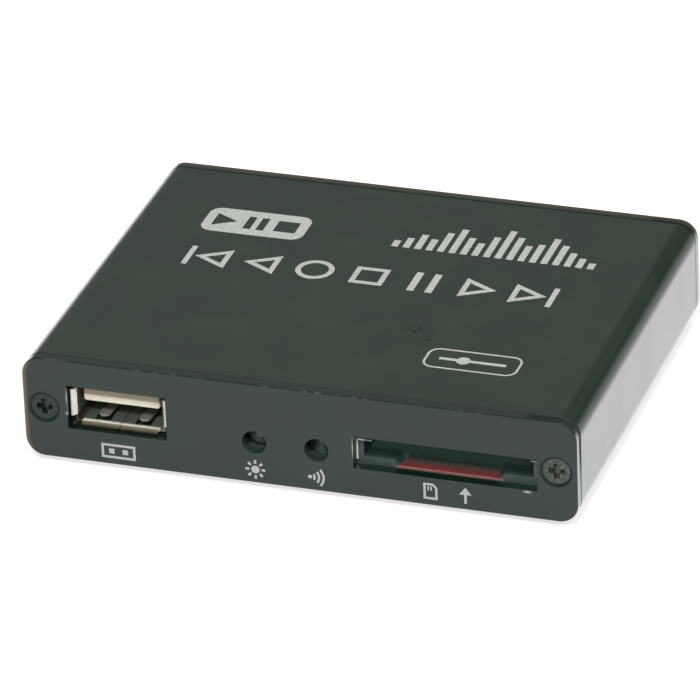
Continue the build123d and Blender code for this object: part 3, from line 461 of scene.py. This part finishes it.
def panel_finish():
    """The panels' oxide: glossier on the edges, browned on some, and chipped along the front ones, with
    painted shadow at the sides of the front seam and painted light on the round holes' walls.
    """
    shader = Shader("panel_anodised", IOR=1.5, Coat_IOR=1.6, Coat_Roughness=0.18)
    tone, gloss = dyed_oxide(shader, linear(12, 32, 25), linear(18, 38, 30))
    x, y, z = [shader.along(axis) for axis in "XYZ"]
    flat = shader.rise(shader.facing("Y"), *face_spread)
    side = shader.rise(flat, 0.6, 0.2)

    dull = shader.all(shader.rise(x, *dull_edge_x), shader.rise(z, *dull_edge_z), side)
    for sink_x in (-screw_x, screw_x):
        sink = shader.spot((sink_x, front, screw_z), sink_reach)
        dull = shader.largest(dull, shader.rise(sink, *sink_edge))
    # Painted shadow at the sides of the front seam, more so towards the top
    side_seam_shade = shader.inside(y, front_seam - side_seam_shade_width / 2, front_seam, seam_width / 2)
    steep = shader.rise(shader.facing("X"), *steep_spread)
    side_seam_shade = shader.all(side_seam_shade, steep, shader.rise(z, *panel_side_shade_z))
    dull = shader.largest(dull, side_seam_shade)
    tone = shader.mix(side_seam_shade, tone, seam_shadow)
    # Painted light on the walls of the round holes
    for lens in ("led_lens", "ir_receiver"):
        bore = shader.spot((middle(lens).x, front, middle(lens).z), bore_reach)
        tone = shader.mix(shader.all(shader.rise(bore, *bore_edge), side), tone, hole_wall_light)

    rubbed_and_highlight = shader.rim(panel_low, panel_high, corner_radius, rubbed_reach)
    rubbed_and_highlight = shader.all(rubbed_and_highlight, shader.rise(x, *rubbed_x), shader.rise(y, *rubbed_y))
    rear_edge = shader.all(shader.rise(y, *rear_edge_y), side, rear_edge_share)
    tone = shader.mix(shader.largest(rubbed_and_highlight, rear_edge), tone, edge_brown)

    specks = shader.noise(speck_grain, detail=3.0, stretch=(2, 1, 1))
    specks = shader.rise(specks, *speck_spread, 0.0, speck_share)
    stretches = shader.rise(shader.noise(stretch_grain, detail=1.0), *stretch_spread)
    edge = shader.rim(panel_low, panel_high, corner_radius, speck_reach)
    chipped = shader.all(edge, specks, stretches, shader.rise(z, *speck_z))
    for (chip_x, chip_z), (across, up) in chips:
        chip = shader.all(shader.near(x, chip_x, across), shader.near(z, chip_z, up))
        chipped = shader.largest(chipped, chip)
    chipped = shader.all(chipped, shader.near(y, front, chip_depth))

    shader.colour(shader.mix(chipped, tone, bare_aluminium))
    shader.rough(shader.largest(gloss, shader.all(dull, panel_dull_rough)))
    coat = shader.rise(flat, 0.0, 1.0, 1.0, panel_face_coat)
    shader.drive("Coat Weight", shader.all(coat, shader.opposite(dull)))
    return shader.material


def screw_finish():
    """Blackened steel with patches of brighter wear, painted paler towards the right as painted light."""
    shader = Shader("blackened_steel", Metallic=0.3, IOR=1.5)
    marks = shader.noise(0.5 * mm, detail=4.0)
    # Painted light: paler towards the right
    painted_light = shader.rise(shader.along("X"), *screw_light_x)
    black = shader.mix(painted_light, linear(34, 44, 39), linear(60, 68, 61))
    worn = shader.mix(painted_light, linear(50, 58, 53), linear(100, 105, 98))
    shader.colour(shader.tones(marks, black, worn, spread=(0.45, 0.75)))
    shader.rough_by(marks, 0.3, 0.5)
    shader.bump(shader.noise(0.12 * mm), depth=0.004 * mm)
    return shader.material


def rubber_finish():
    """Black rubber with a little dust."""
    shader = Shader("foot_rubber", IOR=1.45)
    dust = shader.noise(1.2 * mm, detail=5.0)
    shader.colour(shader.tones(dust, linear(30, 31, 31), linear(54, 55, 54), spread=(0.5, 0.8)))
    shader.rough_by(dust, 0.72, 0.9)
    shader.bump(shader.noise(0.2 * mm, detail=2.0), depth=0.012 * mm)
    return shader.material


def board_finish():
    """Red solder mask over faint tracks, with painted shade on the cut edges and a front margin, and a
    painted highlight along the notch's front edge.
    """
    shader = Shader("red_board", IOR=1.5, Coat_Weight=0.4, Coat_Roughness=0.2)
    x, y, z = [shader.along(axis) for axis in "XYZ"]
    tracks = shader.rise(shader.cells(board_track_size), *board_track_spread)
    mask = shader.mix(tracks, linear(118, 52, 52), linear(132, 60, 60))
    laminate_and_shade = shader.mix(shader.noise(0.4 * mm), linear(62, 72, 66), linear(76, 84, 77))
    notch = shader.inside(x, notch_middle - notch_half, notch_middle + notch_half, notch_soft)
    # Painted shade: a dark front margin, and in the notch a red strip that darkens inwards
    tone = shader.mix(shader.rise(y, *board_shade_margin_y), mask, laminate_and_shade)
    notch_shaded = shader.mix(shader.rise(y, *board_notch_shade_y, 0.0, board_notch_shade_share), mask, laminate_and_shade)
    tone = shader.mix(notch, tone, notch_shaded)
    # Painted shade on the cut edges
    shaded_cut_edges = [shader.near(y, level, board_edge_shade_reach) for level in (board_low.y, board_high.y)]
    tone = shader.mix(shader.largest(*shaded_cut_edges), tone, laminate_and_shade)
    # Painted highlight: a pale line along the notch's front edge
    rubbed_and_highlight = shader.near(y, board_low.y, board_highlight_depth)
    rubbed_and_highlight = shader.all(rubbed_and_highlight, shader.near(z, board_high.z, board_highlight_height), notch)
    shader.colour(shader.mix(rubbed_and_highlight, tone, linear(170, 116, 114)))
    shader.rough_by(shader.noise(2 * mm), 0.32, 0.46)
    shader.bump(tracks, depth=0.02 * mm)
    return shader.material


def metal_finish(name, dark, light, rough, stretch, depth):
    """Bare or plated metal with drawn lines and a little tarnish."""
    shader = Shader(name, Metallic=1.0)
    lines = shader.noise(drawn_line_size, detail=3.0, stretch=stretch)
    tarnish = shader.noise(tarnish_size, detail=4.0)
    shader.colour(shader.tones(tarnish, light, dark))
    shader.rough_by(lines, *rough)
    shader.bump(lines, depth)
    return shader.material


def socket_shell_finish():
    """Nickel plate: dull pale lips, of which the right one has painted shade and the lower one's roll a
    painted highlight fading to painted shade, painted shade inside, less dark on the springs, and in the
    lower left corner.
    """
    shader = Shader("socket_shell", IOR=1.5)
    x, y, z = [shader.along(axis) for axis in "XYZ"]
    floor_part = shader.rise(z, *shell_floor_z)
    lip = shader.rise(y, *shell_lip_y)
    low_lip = shader.all(floor_part, lip)
    lip = shader.largest(lip, shader.all(floor_part, shader.rise(y, *shell_floor_lip_y)))
    shaded_right_lip = shader.all(shader.rise(x, *shell_right_shade_x), shader.rise(y, *shell_right_shade_y))
    inner = shader.rise(y, *shell_inside_shade_y)
    corner = shader.all(shader.rise(x, *shell_corner_shade_x), shader.rise(z, *shell_corner_shade_z))
    off_middle = shader.distance(x, middle("usb_shell").x)
    spring = shader.inside(off_middle, *shell_spring_reach, shell_spring_soft)

    plate = shader.tones(shader.noise(tarnish_size, detail=4.0), nickel_pale, nickel_dull)
    # Painted shade inside, less dark on the springs
    plate = shader.mix(inner, plate, shader.mix(spring, linear(84, 92, 87), linear(132, 134, 128)))
    plate = shader.mix(lip, plate, linear(253, 248, 234))
    # Painted shade on the right lip and in the lower left corner
    plate = shader.mix(shaded_right_lip, plate, linear(120, 116, 102))
    plate = shader.mix(corner, plate, linear(58, 58, 52))
    # The lower lip's roll: painted highlight at its bend, fading to painted shade at its front
    roll_shading = shader.mix(shader.rise(y, *shell_roll_shading_y), linear(122, 114, 96), linear(56, 53, 45))
    shader.colour(shader.mix(low_lip, plate, roll_shading))

    shader.drive("Metallic", shader.rise(shader.largest(lip, inner), 0.0, 1.0, 1.0, dull_metallic))
    lines = shader.noise(drawn_line_size, detail=3.0, stretch=plate_stretch)
    gloss = shader.rise(lines, *rough_spread, 0.27, 0.33)
    shader.rough(shader.largest(gloss, shader.all(inner, shell_inner_rough)))
    shader.bump(lines, plate_depth)
    return shader.material


def plastic_finish(name, dark, light, rough, grain=moulding_grain):
    """Moulded plastic with a fine spark-eroded grain and faint flow tones."""
    shader = Shader(name, IOR=1.5)
    flow = shader.noise(moulding_flow_size, detail=3.0, stretch=moulding_stretch)
    shader.colour(shader.tones(flow, dark, light))
    shader.rough_by(flow, *rough)
    shader.bump(shader.noise(grain, detail=2.0), grain / 20)
    return shader.material


def tongue_finish():
    """Cream plastic, with painted shadow in brown along the upper half of the tongue's front."""
    shader = Shader("tongue_plastic", IOR=1.5)
    flow = shader.noise(moulding_flow_size, detail=3.0, stretch=moulding_stretch)
    z = shader.along("Z")
    y = shader.along("Y")
    # Painted shadow: the upper part of the tongue's front is painted a darker brown
    darker_part = shader.all(shader.rise(z, *tongue_shadow_z), shader.rise(y, *tongue_shadow_y))
    tone = shader.tones(flow, linear(226, 220, 202), linear(236, 230, 213))
    shader.colour(shader.mix(darker_part, tone, linear(176, 166, 142)))
    shader.rough_by(flow, 0.42, 0.52)
    shader.bump(shader.noise(moulding_grain, detail=2.0), moulding_grain / 20)
    return shader.material


def card_base_finish():
    """Grey plastic, darker behind the lips of the mouth, with the lips painted paler as painted highlight,
    and painted lighter deep inside, more on floors than on walls, as painted light.
    """
    shader = Shader("card_base_plastic", IOR=1.5)
    flow = shader.noise(moulding_flow_size, detail=3.0, stretch=moulding_stretch)
    y = shader.along("Y")
    # Painted highlight: the lips at the mouth are painted paler than the plastic behind them
    lit_lips = shader.tones(flow, linear(62, 76, 73), linear(72, 86, 83))
    darker_part = shader.tones(flow, linear(38, 55, 48), linear(44, 61, 54))
    # Painted light: deep inside it is painted lighter, more on floors than on walls
    level = shader.rise(shader.facing("Z"), *face_spread)
    deep_light = shader.mix(level, linear(74, 104, 92), linear(150, 192, 175))
    mouth = shader.mix(shader.rise(y, *card_lit_lips_y), lit_lips, darker_part)
    shader.colour(shader.mix(shader.rise(y, *card_deep_light_y), mouth, deep_light))
    shader.rough_by(flow, 0.4, 0.5)
    shader.bump(shader.noise(moulding_grain, detail=2.0), moulding_grain / 20)
    return shader.material


def card_cover_finish():
    """Dull tin plate with a bright cut edge at the left of the mouth."""
    shader = Shader("card_cover_tin", IOR=1.5)
    x = shader.along("X")
    y = shader.along("Y")
    cut = shader.all(shader.rise(y, *cover_cut_y), shader.rise(x, *cover_cut_x))
    tarnish = shader.noise(tarnish_size, detail=4.0)
    plate = shader.tones(tarnish, linear(126, 130, 124), linear(102, 106, 101))
    shader.colour(shader.mix(cut, plate, linear(244, 243, 234)))
    shader.drive("Metallic", shader.rise(cut, 0.0, 1.0, 1.0, dull_metallic))
    lines = shader.noise(drawn_line_size, detail=3.0, stretch=plate_stretch)
    shader.rough_by(lines, 0.36, 0.46)
    shader.bump(lines, plate_depth)
    return shader.material


def lens_finish(name, colour, see_through, rough):
    """Tinted resin with a faint swirl."""
    shader = Shader(name, IOR=1.5, Transmission_Weight=see_through)
    swirl = shader.noise(1.5 * mm, detail=2.0)
    shader.colour(shader.mix(swirl, colour, [0.8 * c for c in colour]))
    shader.rough_by(swirl, *rough)
    shader.bump(swirl, depth=0.004 * mm)
    return shader.material


def ink_finish():
    """Screen-printed light grey ink, a little uneven and thin at places."""
    shader = Shader("print_ink", IOR=1.45)
    cover = shader.noise(0.35 * mm, detail=4.0)
    shader.colour(shader.tones(cover, linear(172, 177, 172), linear(192, 195, 190), spread=(0.3, 0.75)))
    shader.rough_by(cover, 0.45, 0.6)
    shader.bump(shader.noise(0.1 * mm, detail=2.0), depth=0.004 * mm)
    return shader.material


sleeve_black = sleeve_finish()
panel_black = panel_finish()
screw_black = screw_finish()
foot_rubber = rubber_finish()
board_red = board_finish()
nickel = metal_finish(
    "nickel_plate", nickel_dull, nickel_pale,
    rough=(0.28, 0.32), stretch=plate_stretch, depth=plate_depth)
socket_shell = socket_shell_finish()
card_cover = card_cover_finish()
card_base = card_base_finish()
gilt = metal_finish(
    "gilt_strip", linear(186, 148, 84), linear(222, 186, 118),
    rough=(0.2, 0.34), stretch=(1, 20, 1), depth=0.002 * mm)
tinned = metal_finish(
    "tinned_metal", linear(176, 176, 170), linear(206, 206, 200),
    rough=(0.25, 0.42), stretch=(1, 1, 12), depth=0.003 * mm)
spring_wire = metal_finish(
    "spring_wire", linear(150, 150, 148), linear(196, 196, 192),
    rough=(0.2, 0.35), stretch=(1, 12, 1), depth=0.002 * mm)
drawn_can = metal_finish(
    "drawn_can", linear(186, 187, 188), linear(216, 217, 218),
    rough=(0.2, 0.32), stretch=(1, 1, 24), depth=0.002 * mm)
cream = tongue_finish()
white = plastic_finish("white_plastic", linear(214, 213, 206), linear(228, 227, 220), rough=(0.4, 0.5))
black = plastic_finish("black_plastic", linear(30, 31, 31), linear(40, 41, 41), rough=(0.4, 0.52))
epoxy = plastic_finish(
    "chip_epoxy", linear(34, 34, 35), linear(48, 48, 49), rough=(0.55, 0.68), grain=0.1 * mm)
ferrite = plastic_finish(
    "ferrite", linear(66, 66, 68), linear(88, 88, 90), rough=(0.6, 0.75), grain=0.12 * mm)
ceramic = plastic_finish(
    "ceramic", linear(168, 138, 100), linear(188, 160, 122), rough=(0.35, 0.5), grain=0.1 * mm)
# Painted light: both lenses are painted lighter than their resins, for the shade in their holes
clear_lens = lens_finish("clear_lens", linear(96, 112, 104), see_through=0.2, rough=(0.1, 0.2))
dark_lens = lens_finish("dark_lens", linear(58, 74, 67), see_through=0.0, rough=(0.4, 0.5))
ink = ink_finish()

finishes = {
    "housing_sleeve": sleeve_black, "front_panel": panel_black, "rear_panel": panel_black,
    "front_screws": screw_black, "rear_screws": screw_black, "rubber_feet": foot_rubber,
    "main_board": board_red, "usb_shell": socket_shell, "usb_insulator": cream, "usb_contacts": gilt,
    "sd_base": card_base, "sd_cover": card_cover, "sd_contacts": gilt, "sd_slider": white,
    "sd_eject_spring": spring_wire, "sd_latch_wire": spring_wire,
    "hdmi_shell": nickel, "hdmi_insulator": black, "hdmi_contacts": gilt,
    "av_jack_body": black, "av_jack_contacts": tinned, "dc_jack_body": black, "dc_jack_pin": tinned,
    "dc_jack_contacts": tinned, "led_lens": clear_lens, "led_leads": tinned, "ir_receiver": dark_lens,
    "ir_leads": tinned, "main_processor": epoxy, "memory_chip": epoxy, "flash_chip": epoxy,
    "crystal": drawn_can, "voltage_regulators": epoxy, "power_inductors": ferrite,
    "capacitor_cans": drawn_can, "capacitor_bases": black, "chip_passives": ceramic,
}
for name, finish in finishes.items():
    for slot in nodes[name].material_slots:
        slot.material = finish


# Outlines for the print, as lists of points in the plane that they are printed on

def circle(x, y, radius):
    turns = [2 * math.pi * step / curve_steps for step in range(curve_steps)]
    return [(x + radius * math.cos(a), y + radius * math.sin(a)) for a in turns]


def arc_band(x, y, radius, width, start, end):
    """A band along an arc between two angles."""
    angles = [start + (end - start) * step / curve_steps for step in range(curve_steps + 1)]
    outer, inner = [
        [(x + reach * math.cos(a), y + reach * math.sin(a)) for a in angles]
        for reach in (radius + width / 2, radius - width / 2)
    ]
    return outer + inner[::-1]


def rectangle(x, y, width, height):
    w, h = width / 2, height / 2
    return [(x - w, y - h), (x + w, y - h), (x + w, y + h), (x - w, y + h)]


def rounded(x, y, width, height, radius):
    """A rectangle with round corners."""
    points = []
    for quarter, (i, j) in enumerate(((1, 1), (-1, 1), (-1, -1), (1, -1))):
        cx, cy = x + i * (width / 2 - radius), y + j * (height / 2 - radius)
        for step in range(curve_steps // 4 + 1):
            a = math.pi / 2 * (quarter + 4 * step / curve_steps)
            points.append((cx + radius * math.cos(a), cy + radius * math.sin(a)))
    return points


def triangle(x, y, width, height, direction):
    """A triangle that points to the right for 1 and to the left for -1."""
    w, h = direction * width / 2, height / 2
    return [(x - w, y - h), (x + w, y), (x - w, y + h)]


def band(start, end, width):
    """A straight stroke."""
    line = Vector(end) - Vector(start)
    side = Vector((-line.y, line.x)).normalized() * width / 2
    return [tuple(Vector(p) + s * side) for p, s in ((start, 1), (end, 1), (end, -1), (start, -1))]


def hollow(outline, width):
    """An outline and the same one moved inwards, so that only a stroke of that width is filled."""
    points = [Vector(p) for p in outline]
    area = sum(a.x * b.y - b.x * a.y for a, b in zip(points, points[1:] + points[:1]))
    inner = []
    for before, here, after in zip(points[-1:] + points[:-1], points, points[1:] + points[:1]):
        coming, going = (here - before).normalized(), (after - here).normalized()
        along = (coming + going).normalized()
        inward = Vector((-along.y, along.x)) * math.copysign(1, area)
        inner.append(tuple(here + inward * (width / abs(along.dot(going)))))
    return [outline, inner]


# Transport symbols, each round a point and of a given height

def play(x, y, height, direction):
    width = 0.9 * height
    return hollow(triangle(x, y, width, height, direction), stroke)


def pause(x, y, height):
    offset, width = 0.24 * height, 1.3 * stroke
    return [rectangle(x + side * offset, y, width, height) for side in (-1, 1)]


def stop(x, y, height):
    side = 0.88 * height
    return hollow(rectangle(x, y, side, side), stroke)


def record_dot(x, y, height):
    return [circle(x, y, height / 2), circle(x, y, height / 2 - stroke)]


def skip(x, y, height, direction):
    """A triangle against a bar."""
    bar_offset = 0.46 * height
    arrow = play(x - direction * stroke, y, height, direction)
    return arrow + [rectangle(x + direction * bar_offset, y, stroke, height)]


def transport_row():
    x, y = transport_centre
    symbols = ((skip, -1), (play, -1), (record_dot,), (stop,), (pause,), (play, 1), (skip, 1))
    middle_index = (len(symbols) - 1) / 2
    outlines = []
    for index, (symbol, *direction) in enumerate(symbols):
        outlines += symbol(x + (index - middle_index) * transport_pitch, y, transport_height, *direction)
    return outlines


def badge():
    """A plate of ink with three symbols left open in it."""
    x, y = badge_centre
    height = badge_symbol_height
    play_width, bar_offset, bar_width, stop_side = [share * height for share in (0.9, 0.26, 0.3, 0.86)]
    outlines = [rounded(x, y, *badge_size, badge_corner)]
    outlines.append(triangle(x - badge_symbol_pitch, y, play_width, height, 1))
    outlines += [rectangle(x + side * bar_offset, y, bar_width, height) for side in (-1, 1)]
    outlines.append(rectangle(x + badge_symbol_pitch, y, stop_side, stop_side))
    return outlines


def level_bars():
    """A row of bars of uneven height, like a sound level display."""
    left, foot = level_bars_corner
    bars = []
    for index, share in enumerate(level_bar_shares):
        height = share * level_bar_full
        bars.append(rectangle(left + index * level_bar_pitch, foot + height / 2, level_bar_width, height))
    return bars


def progress_pill():
    """A round-ended frame with a line and a knob on it."""
    x, y = pill_centre
    outlines = hollow(rounded(x, y, *pill_size, pill_corner), pill_stroke)
    left, right = x - pill_line_length / 2, x + pill_line_length / 2
    knob = x + (pill_knob_share - 0.5) * pill_line_length
    for start, end in ((left, knob - pill_knob_radius), (knob + pill_knob_radius, right)):
        outlines.append(rectangle((start + end) / 2, y, end - start, 2 * pill_stroke))
    outlines.append(circle(knob, y, pill_knob_radius))
    return outlines


# Labels under the sockets, each round a point

def plug_label(x, z):
    """A frame with two blocks in it, like the mouth of a plug."""
    width, height = 2 * label_height, 0.9 * label_height
    block_offset, block_width, block_height = 0.2 * width, 0.16 * width, 0.34 * height
    outlines = hollow(rectangle(x, z, width, height), label_stroke)
    return outlines + [rectangle(x + side * block_offset, z, block_width, block_height) for side in (-1, 1)]


def light_label(x, z):
    """A disc with rays."""
    disc, ray_start, ray_end = [share * label_height for share in (0.24, 0.36, 0.58)]
    outlines = [circle(x, z, disc)]
    for step in range(light_rays):
        a = 2 * math.pi / light_rays * step
        start, end = [(x + reach * math.cos(a), z + reach * math.sin(a)) for reach in (ray_start, ray_end)]
        outlines.append(band(start, end, label_stroke))
    return outlines


def wave_label(x, z):
    """A dot and three arcs spreading from it."""
    foot = x - 0.42 * label_height
    dot, arc_pitch, arc_width = 0.8 * label_stroke, 0.26 * label_height, 0.9 * label_stroke
    outlines = [circle(foot, z, dot)]
    for ring in (1, 2, 3):
        outlines.append(arc_band(foot, z, ring * arc_pitch, arc_width, -wave_half_angle, wave_half_angle))
    return outlines


def card_label(x, z):
    """A card with a cut corner and its contacts, and an arrow towards the slot."""
    width, height = 0.8 * label_height, label_height
    left, right = x - label_height - width / 2, x - label_height + width / 2
    low, high, cut = z - height / 2, z + height / 2, 0.3 * width
    card = [(left, low), (right, low), (right, high - cut), (right - cut, high), (left, high)]
    outlines = hollow(card, 0.9 * label_stroke)
    contact_rise, contact_width, contact_height = 0.18 * height, 0.6 * label_stroke, 0.26 * height
    for share in (0.34, 0.55):
        outlines.append(rectangle(left + share * width, z + contact_rise, contact_width, contact_height))
    tip = x + label_height
    shaft, wing, neck = label_stroke / 2, 0.36 * height, z + 0.05 * height
    right_half = [(tip + shaft, low), (tip + shaft, neck), (tip + wing, neck)]
    outlines.append(right_half + [(tip, high)] + [(2 * tip - u, v) for u, v in right_half[::-1]])
    return outlines


def printed(name, outlines, place):
    """A thin layer of ink in the shape of the outlines, where one inside another is left open."""
    curve = bpy.data.curves.new(name, "CURVE")
    curve.dimensions = "2D"
    curve.fill_mode = "BOTH"
    curve.extrude = ink_thickness / 2
    for outline in outlines:
        spline = curve.splines.new("POLY")
        spline.points.add(len(outline) - 1)
        for point, (u, v) in zip(spline.points, outline):
            point.co = (u, v, 0, 1)
        spline.use_cyclic_u = True
    shape = bpy.data.objects.new(name + "_outline", curve)
    mesh = bpy.data.meshes.new_from_object(shape)
    bpy.data.objects.remove(shape)
    mesh.name = name
    mesh.transform(place)
    piece = bpy.data.objects.new(name, mesh)
    bpy.context.scene.collection.objects.link(piece)
    mesh.materials.clear()
    mesh.materials.append(ink)
    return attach(piece, "player")


on_top = Matrix.Translation((0, 0, top + ink_thickness / 2))
on_front = Matrix.Translation((0, front - ink_thickness / 2, 0)) @ Matrix.Rotation(math.pi / 2, 4, "X")
printed("top_badge", badge(), on_top)
printed("top_transport_symbols", transport_row(), on_top)
printed("top_level_bars", level_bars(), on_top)
printed("top_progress_pill", progress_pill(), on_top)
printed("plug_label", plug_label(middle("usb_insulator").x, label_rise), on_front)
printed("light_label", light_label(middle("led_lens").x, label_rise), on_front)
printed("receiver_label", wave_label(middle("ir_receiver").x, label_rise), on_front)
printed("card_label", card_label(middle("sd_base").x, card_label_rise), on_front)


def eject_spring():
    """A copy of the card socket's coil, attached to the player in place of the original, which is hidden."""
    coil = bpy.data.objects.new("card_eject_spring", nodes["sd_eject_spring"].data.copy())
    bpy.context.scene.collection.objects.link(coil)
    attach(coil, "player")
    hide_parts("sd_eject_spring")
    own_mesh(coil)


eject_spring()


# Stage

def lit_backdrop(shader, strength):
    """Adds a white glow that only the camera, mirrors and glass see."""
    path = shader.tree.nodes.new("ShaderNodeLightPath")
    rays = [path.outputs[kind] for kind in ("Is Camera Ray", "Is Glossy Ray", "Is Transmission Ray")]
    shader.drive("Emission Color", (1, 1, 1))
    shader.drive("Emission Strength", shader.all(shader.largest(*rays), strength))


def floor():
    half = floor_size / 2
    mesh = bpy.data.meshes.new("floor")
    corners = [(i * half, j * half, -floor_drop) for i, j in ((-1, -1), (1, -1), (1, 1), (-1, 1))]
    mesh.from_pydata(corners, [], [(0, 1, 2, 3)])
    plane = bpy.data.objects.new("floor", mesh)
    bpy.context.scene.collection.objects.link(plane)
    shader = Shader("floor_paper", Base_Color=floor_colour, Roughness=0.9, Specular_IOR_Level=0.0)
    lit_backdrop(shader, floor_glow)
    mesh.materials.append(shader.material)


def room():
    """Dark grey surroundings with pale walls behind on the left and in front, white to the camera."""
    world = bpy.data.worlds.new("room")
    bpy.context.scene.world = world
    world.use_nodes = True
    sky = Tree(world.node_tree, "Generated")
    levels = []
    for direction, cosines in walls:
        towards = sky.vector("DOT_PRODUCT", "Value", sky.place, Vector(direction).normalized())
        levels.append(sky.rise(towards, *cosines, room_level, wall_level))
    seen = sky.add("ShaderNodeLightPath", "Is Camera Ray", {})
    strength = sky.add("ShaderNodeMix", 0, {"Factor": seen, 2: sky.largest(*levels), 3: 1.0})
    background = sky.tree.nodes["Background"]
    sky.put(background.inputs["Color"], (1, 1, 1))
    sky.put(background.inputs["Strength"], strength)


def lamp(name, place, size, power, mirrored):
    light = bpy.data.lights.new(name, "AREA")
    light.size = size
    light.energy = power
    holder = bpy.data.objects.new(name, light)
    holder.location = place
    holder.rotation_euler = (-Vector(place)).to_track_quat("-Z", "Y").to_euler()
    holder.visible_glossy = mirrored
    bpy.context.scene.collection.objects.link(holder)


def camera():
    data = bpy.data.cameras.new("camera")
    data.sensor_width = camera_sensor
    data.lens = camera_sensor * camera_focal_px / image_width_px
    data.clip_start, data.clip_end = camera_clip
    holder = bpy.data.objects.new("camera", data)
    turn = Matrix.Rotation(camera_azimuth, 4, "Z") @ Matrix.Rotation(math.pi / 2 - camera_elevation, 4, "X")
    turn = turn @ Matrix.Rotation(camera_roll, 4, "Z")
    holder.matrix_world = Matrix.Translation(camera_aim) @ turn @ Matrix.Translation((0, 0, camera_distance))
    bpy.context.scene.collection.objects.link(holder)
    bpy.context.scene.camera = holder


floor()
room()
for settings in lamps:
    lamp(*settings)
camera()
bpy.context.scene.view_settings.view_transform = "Standard"
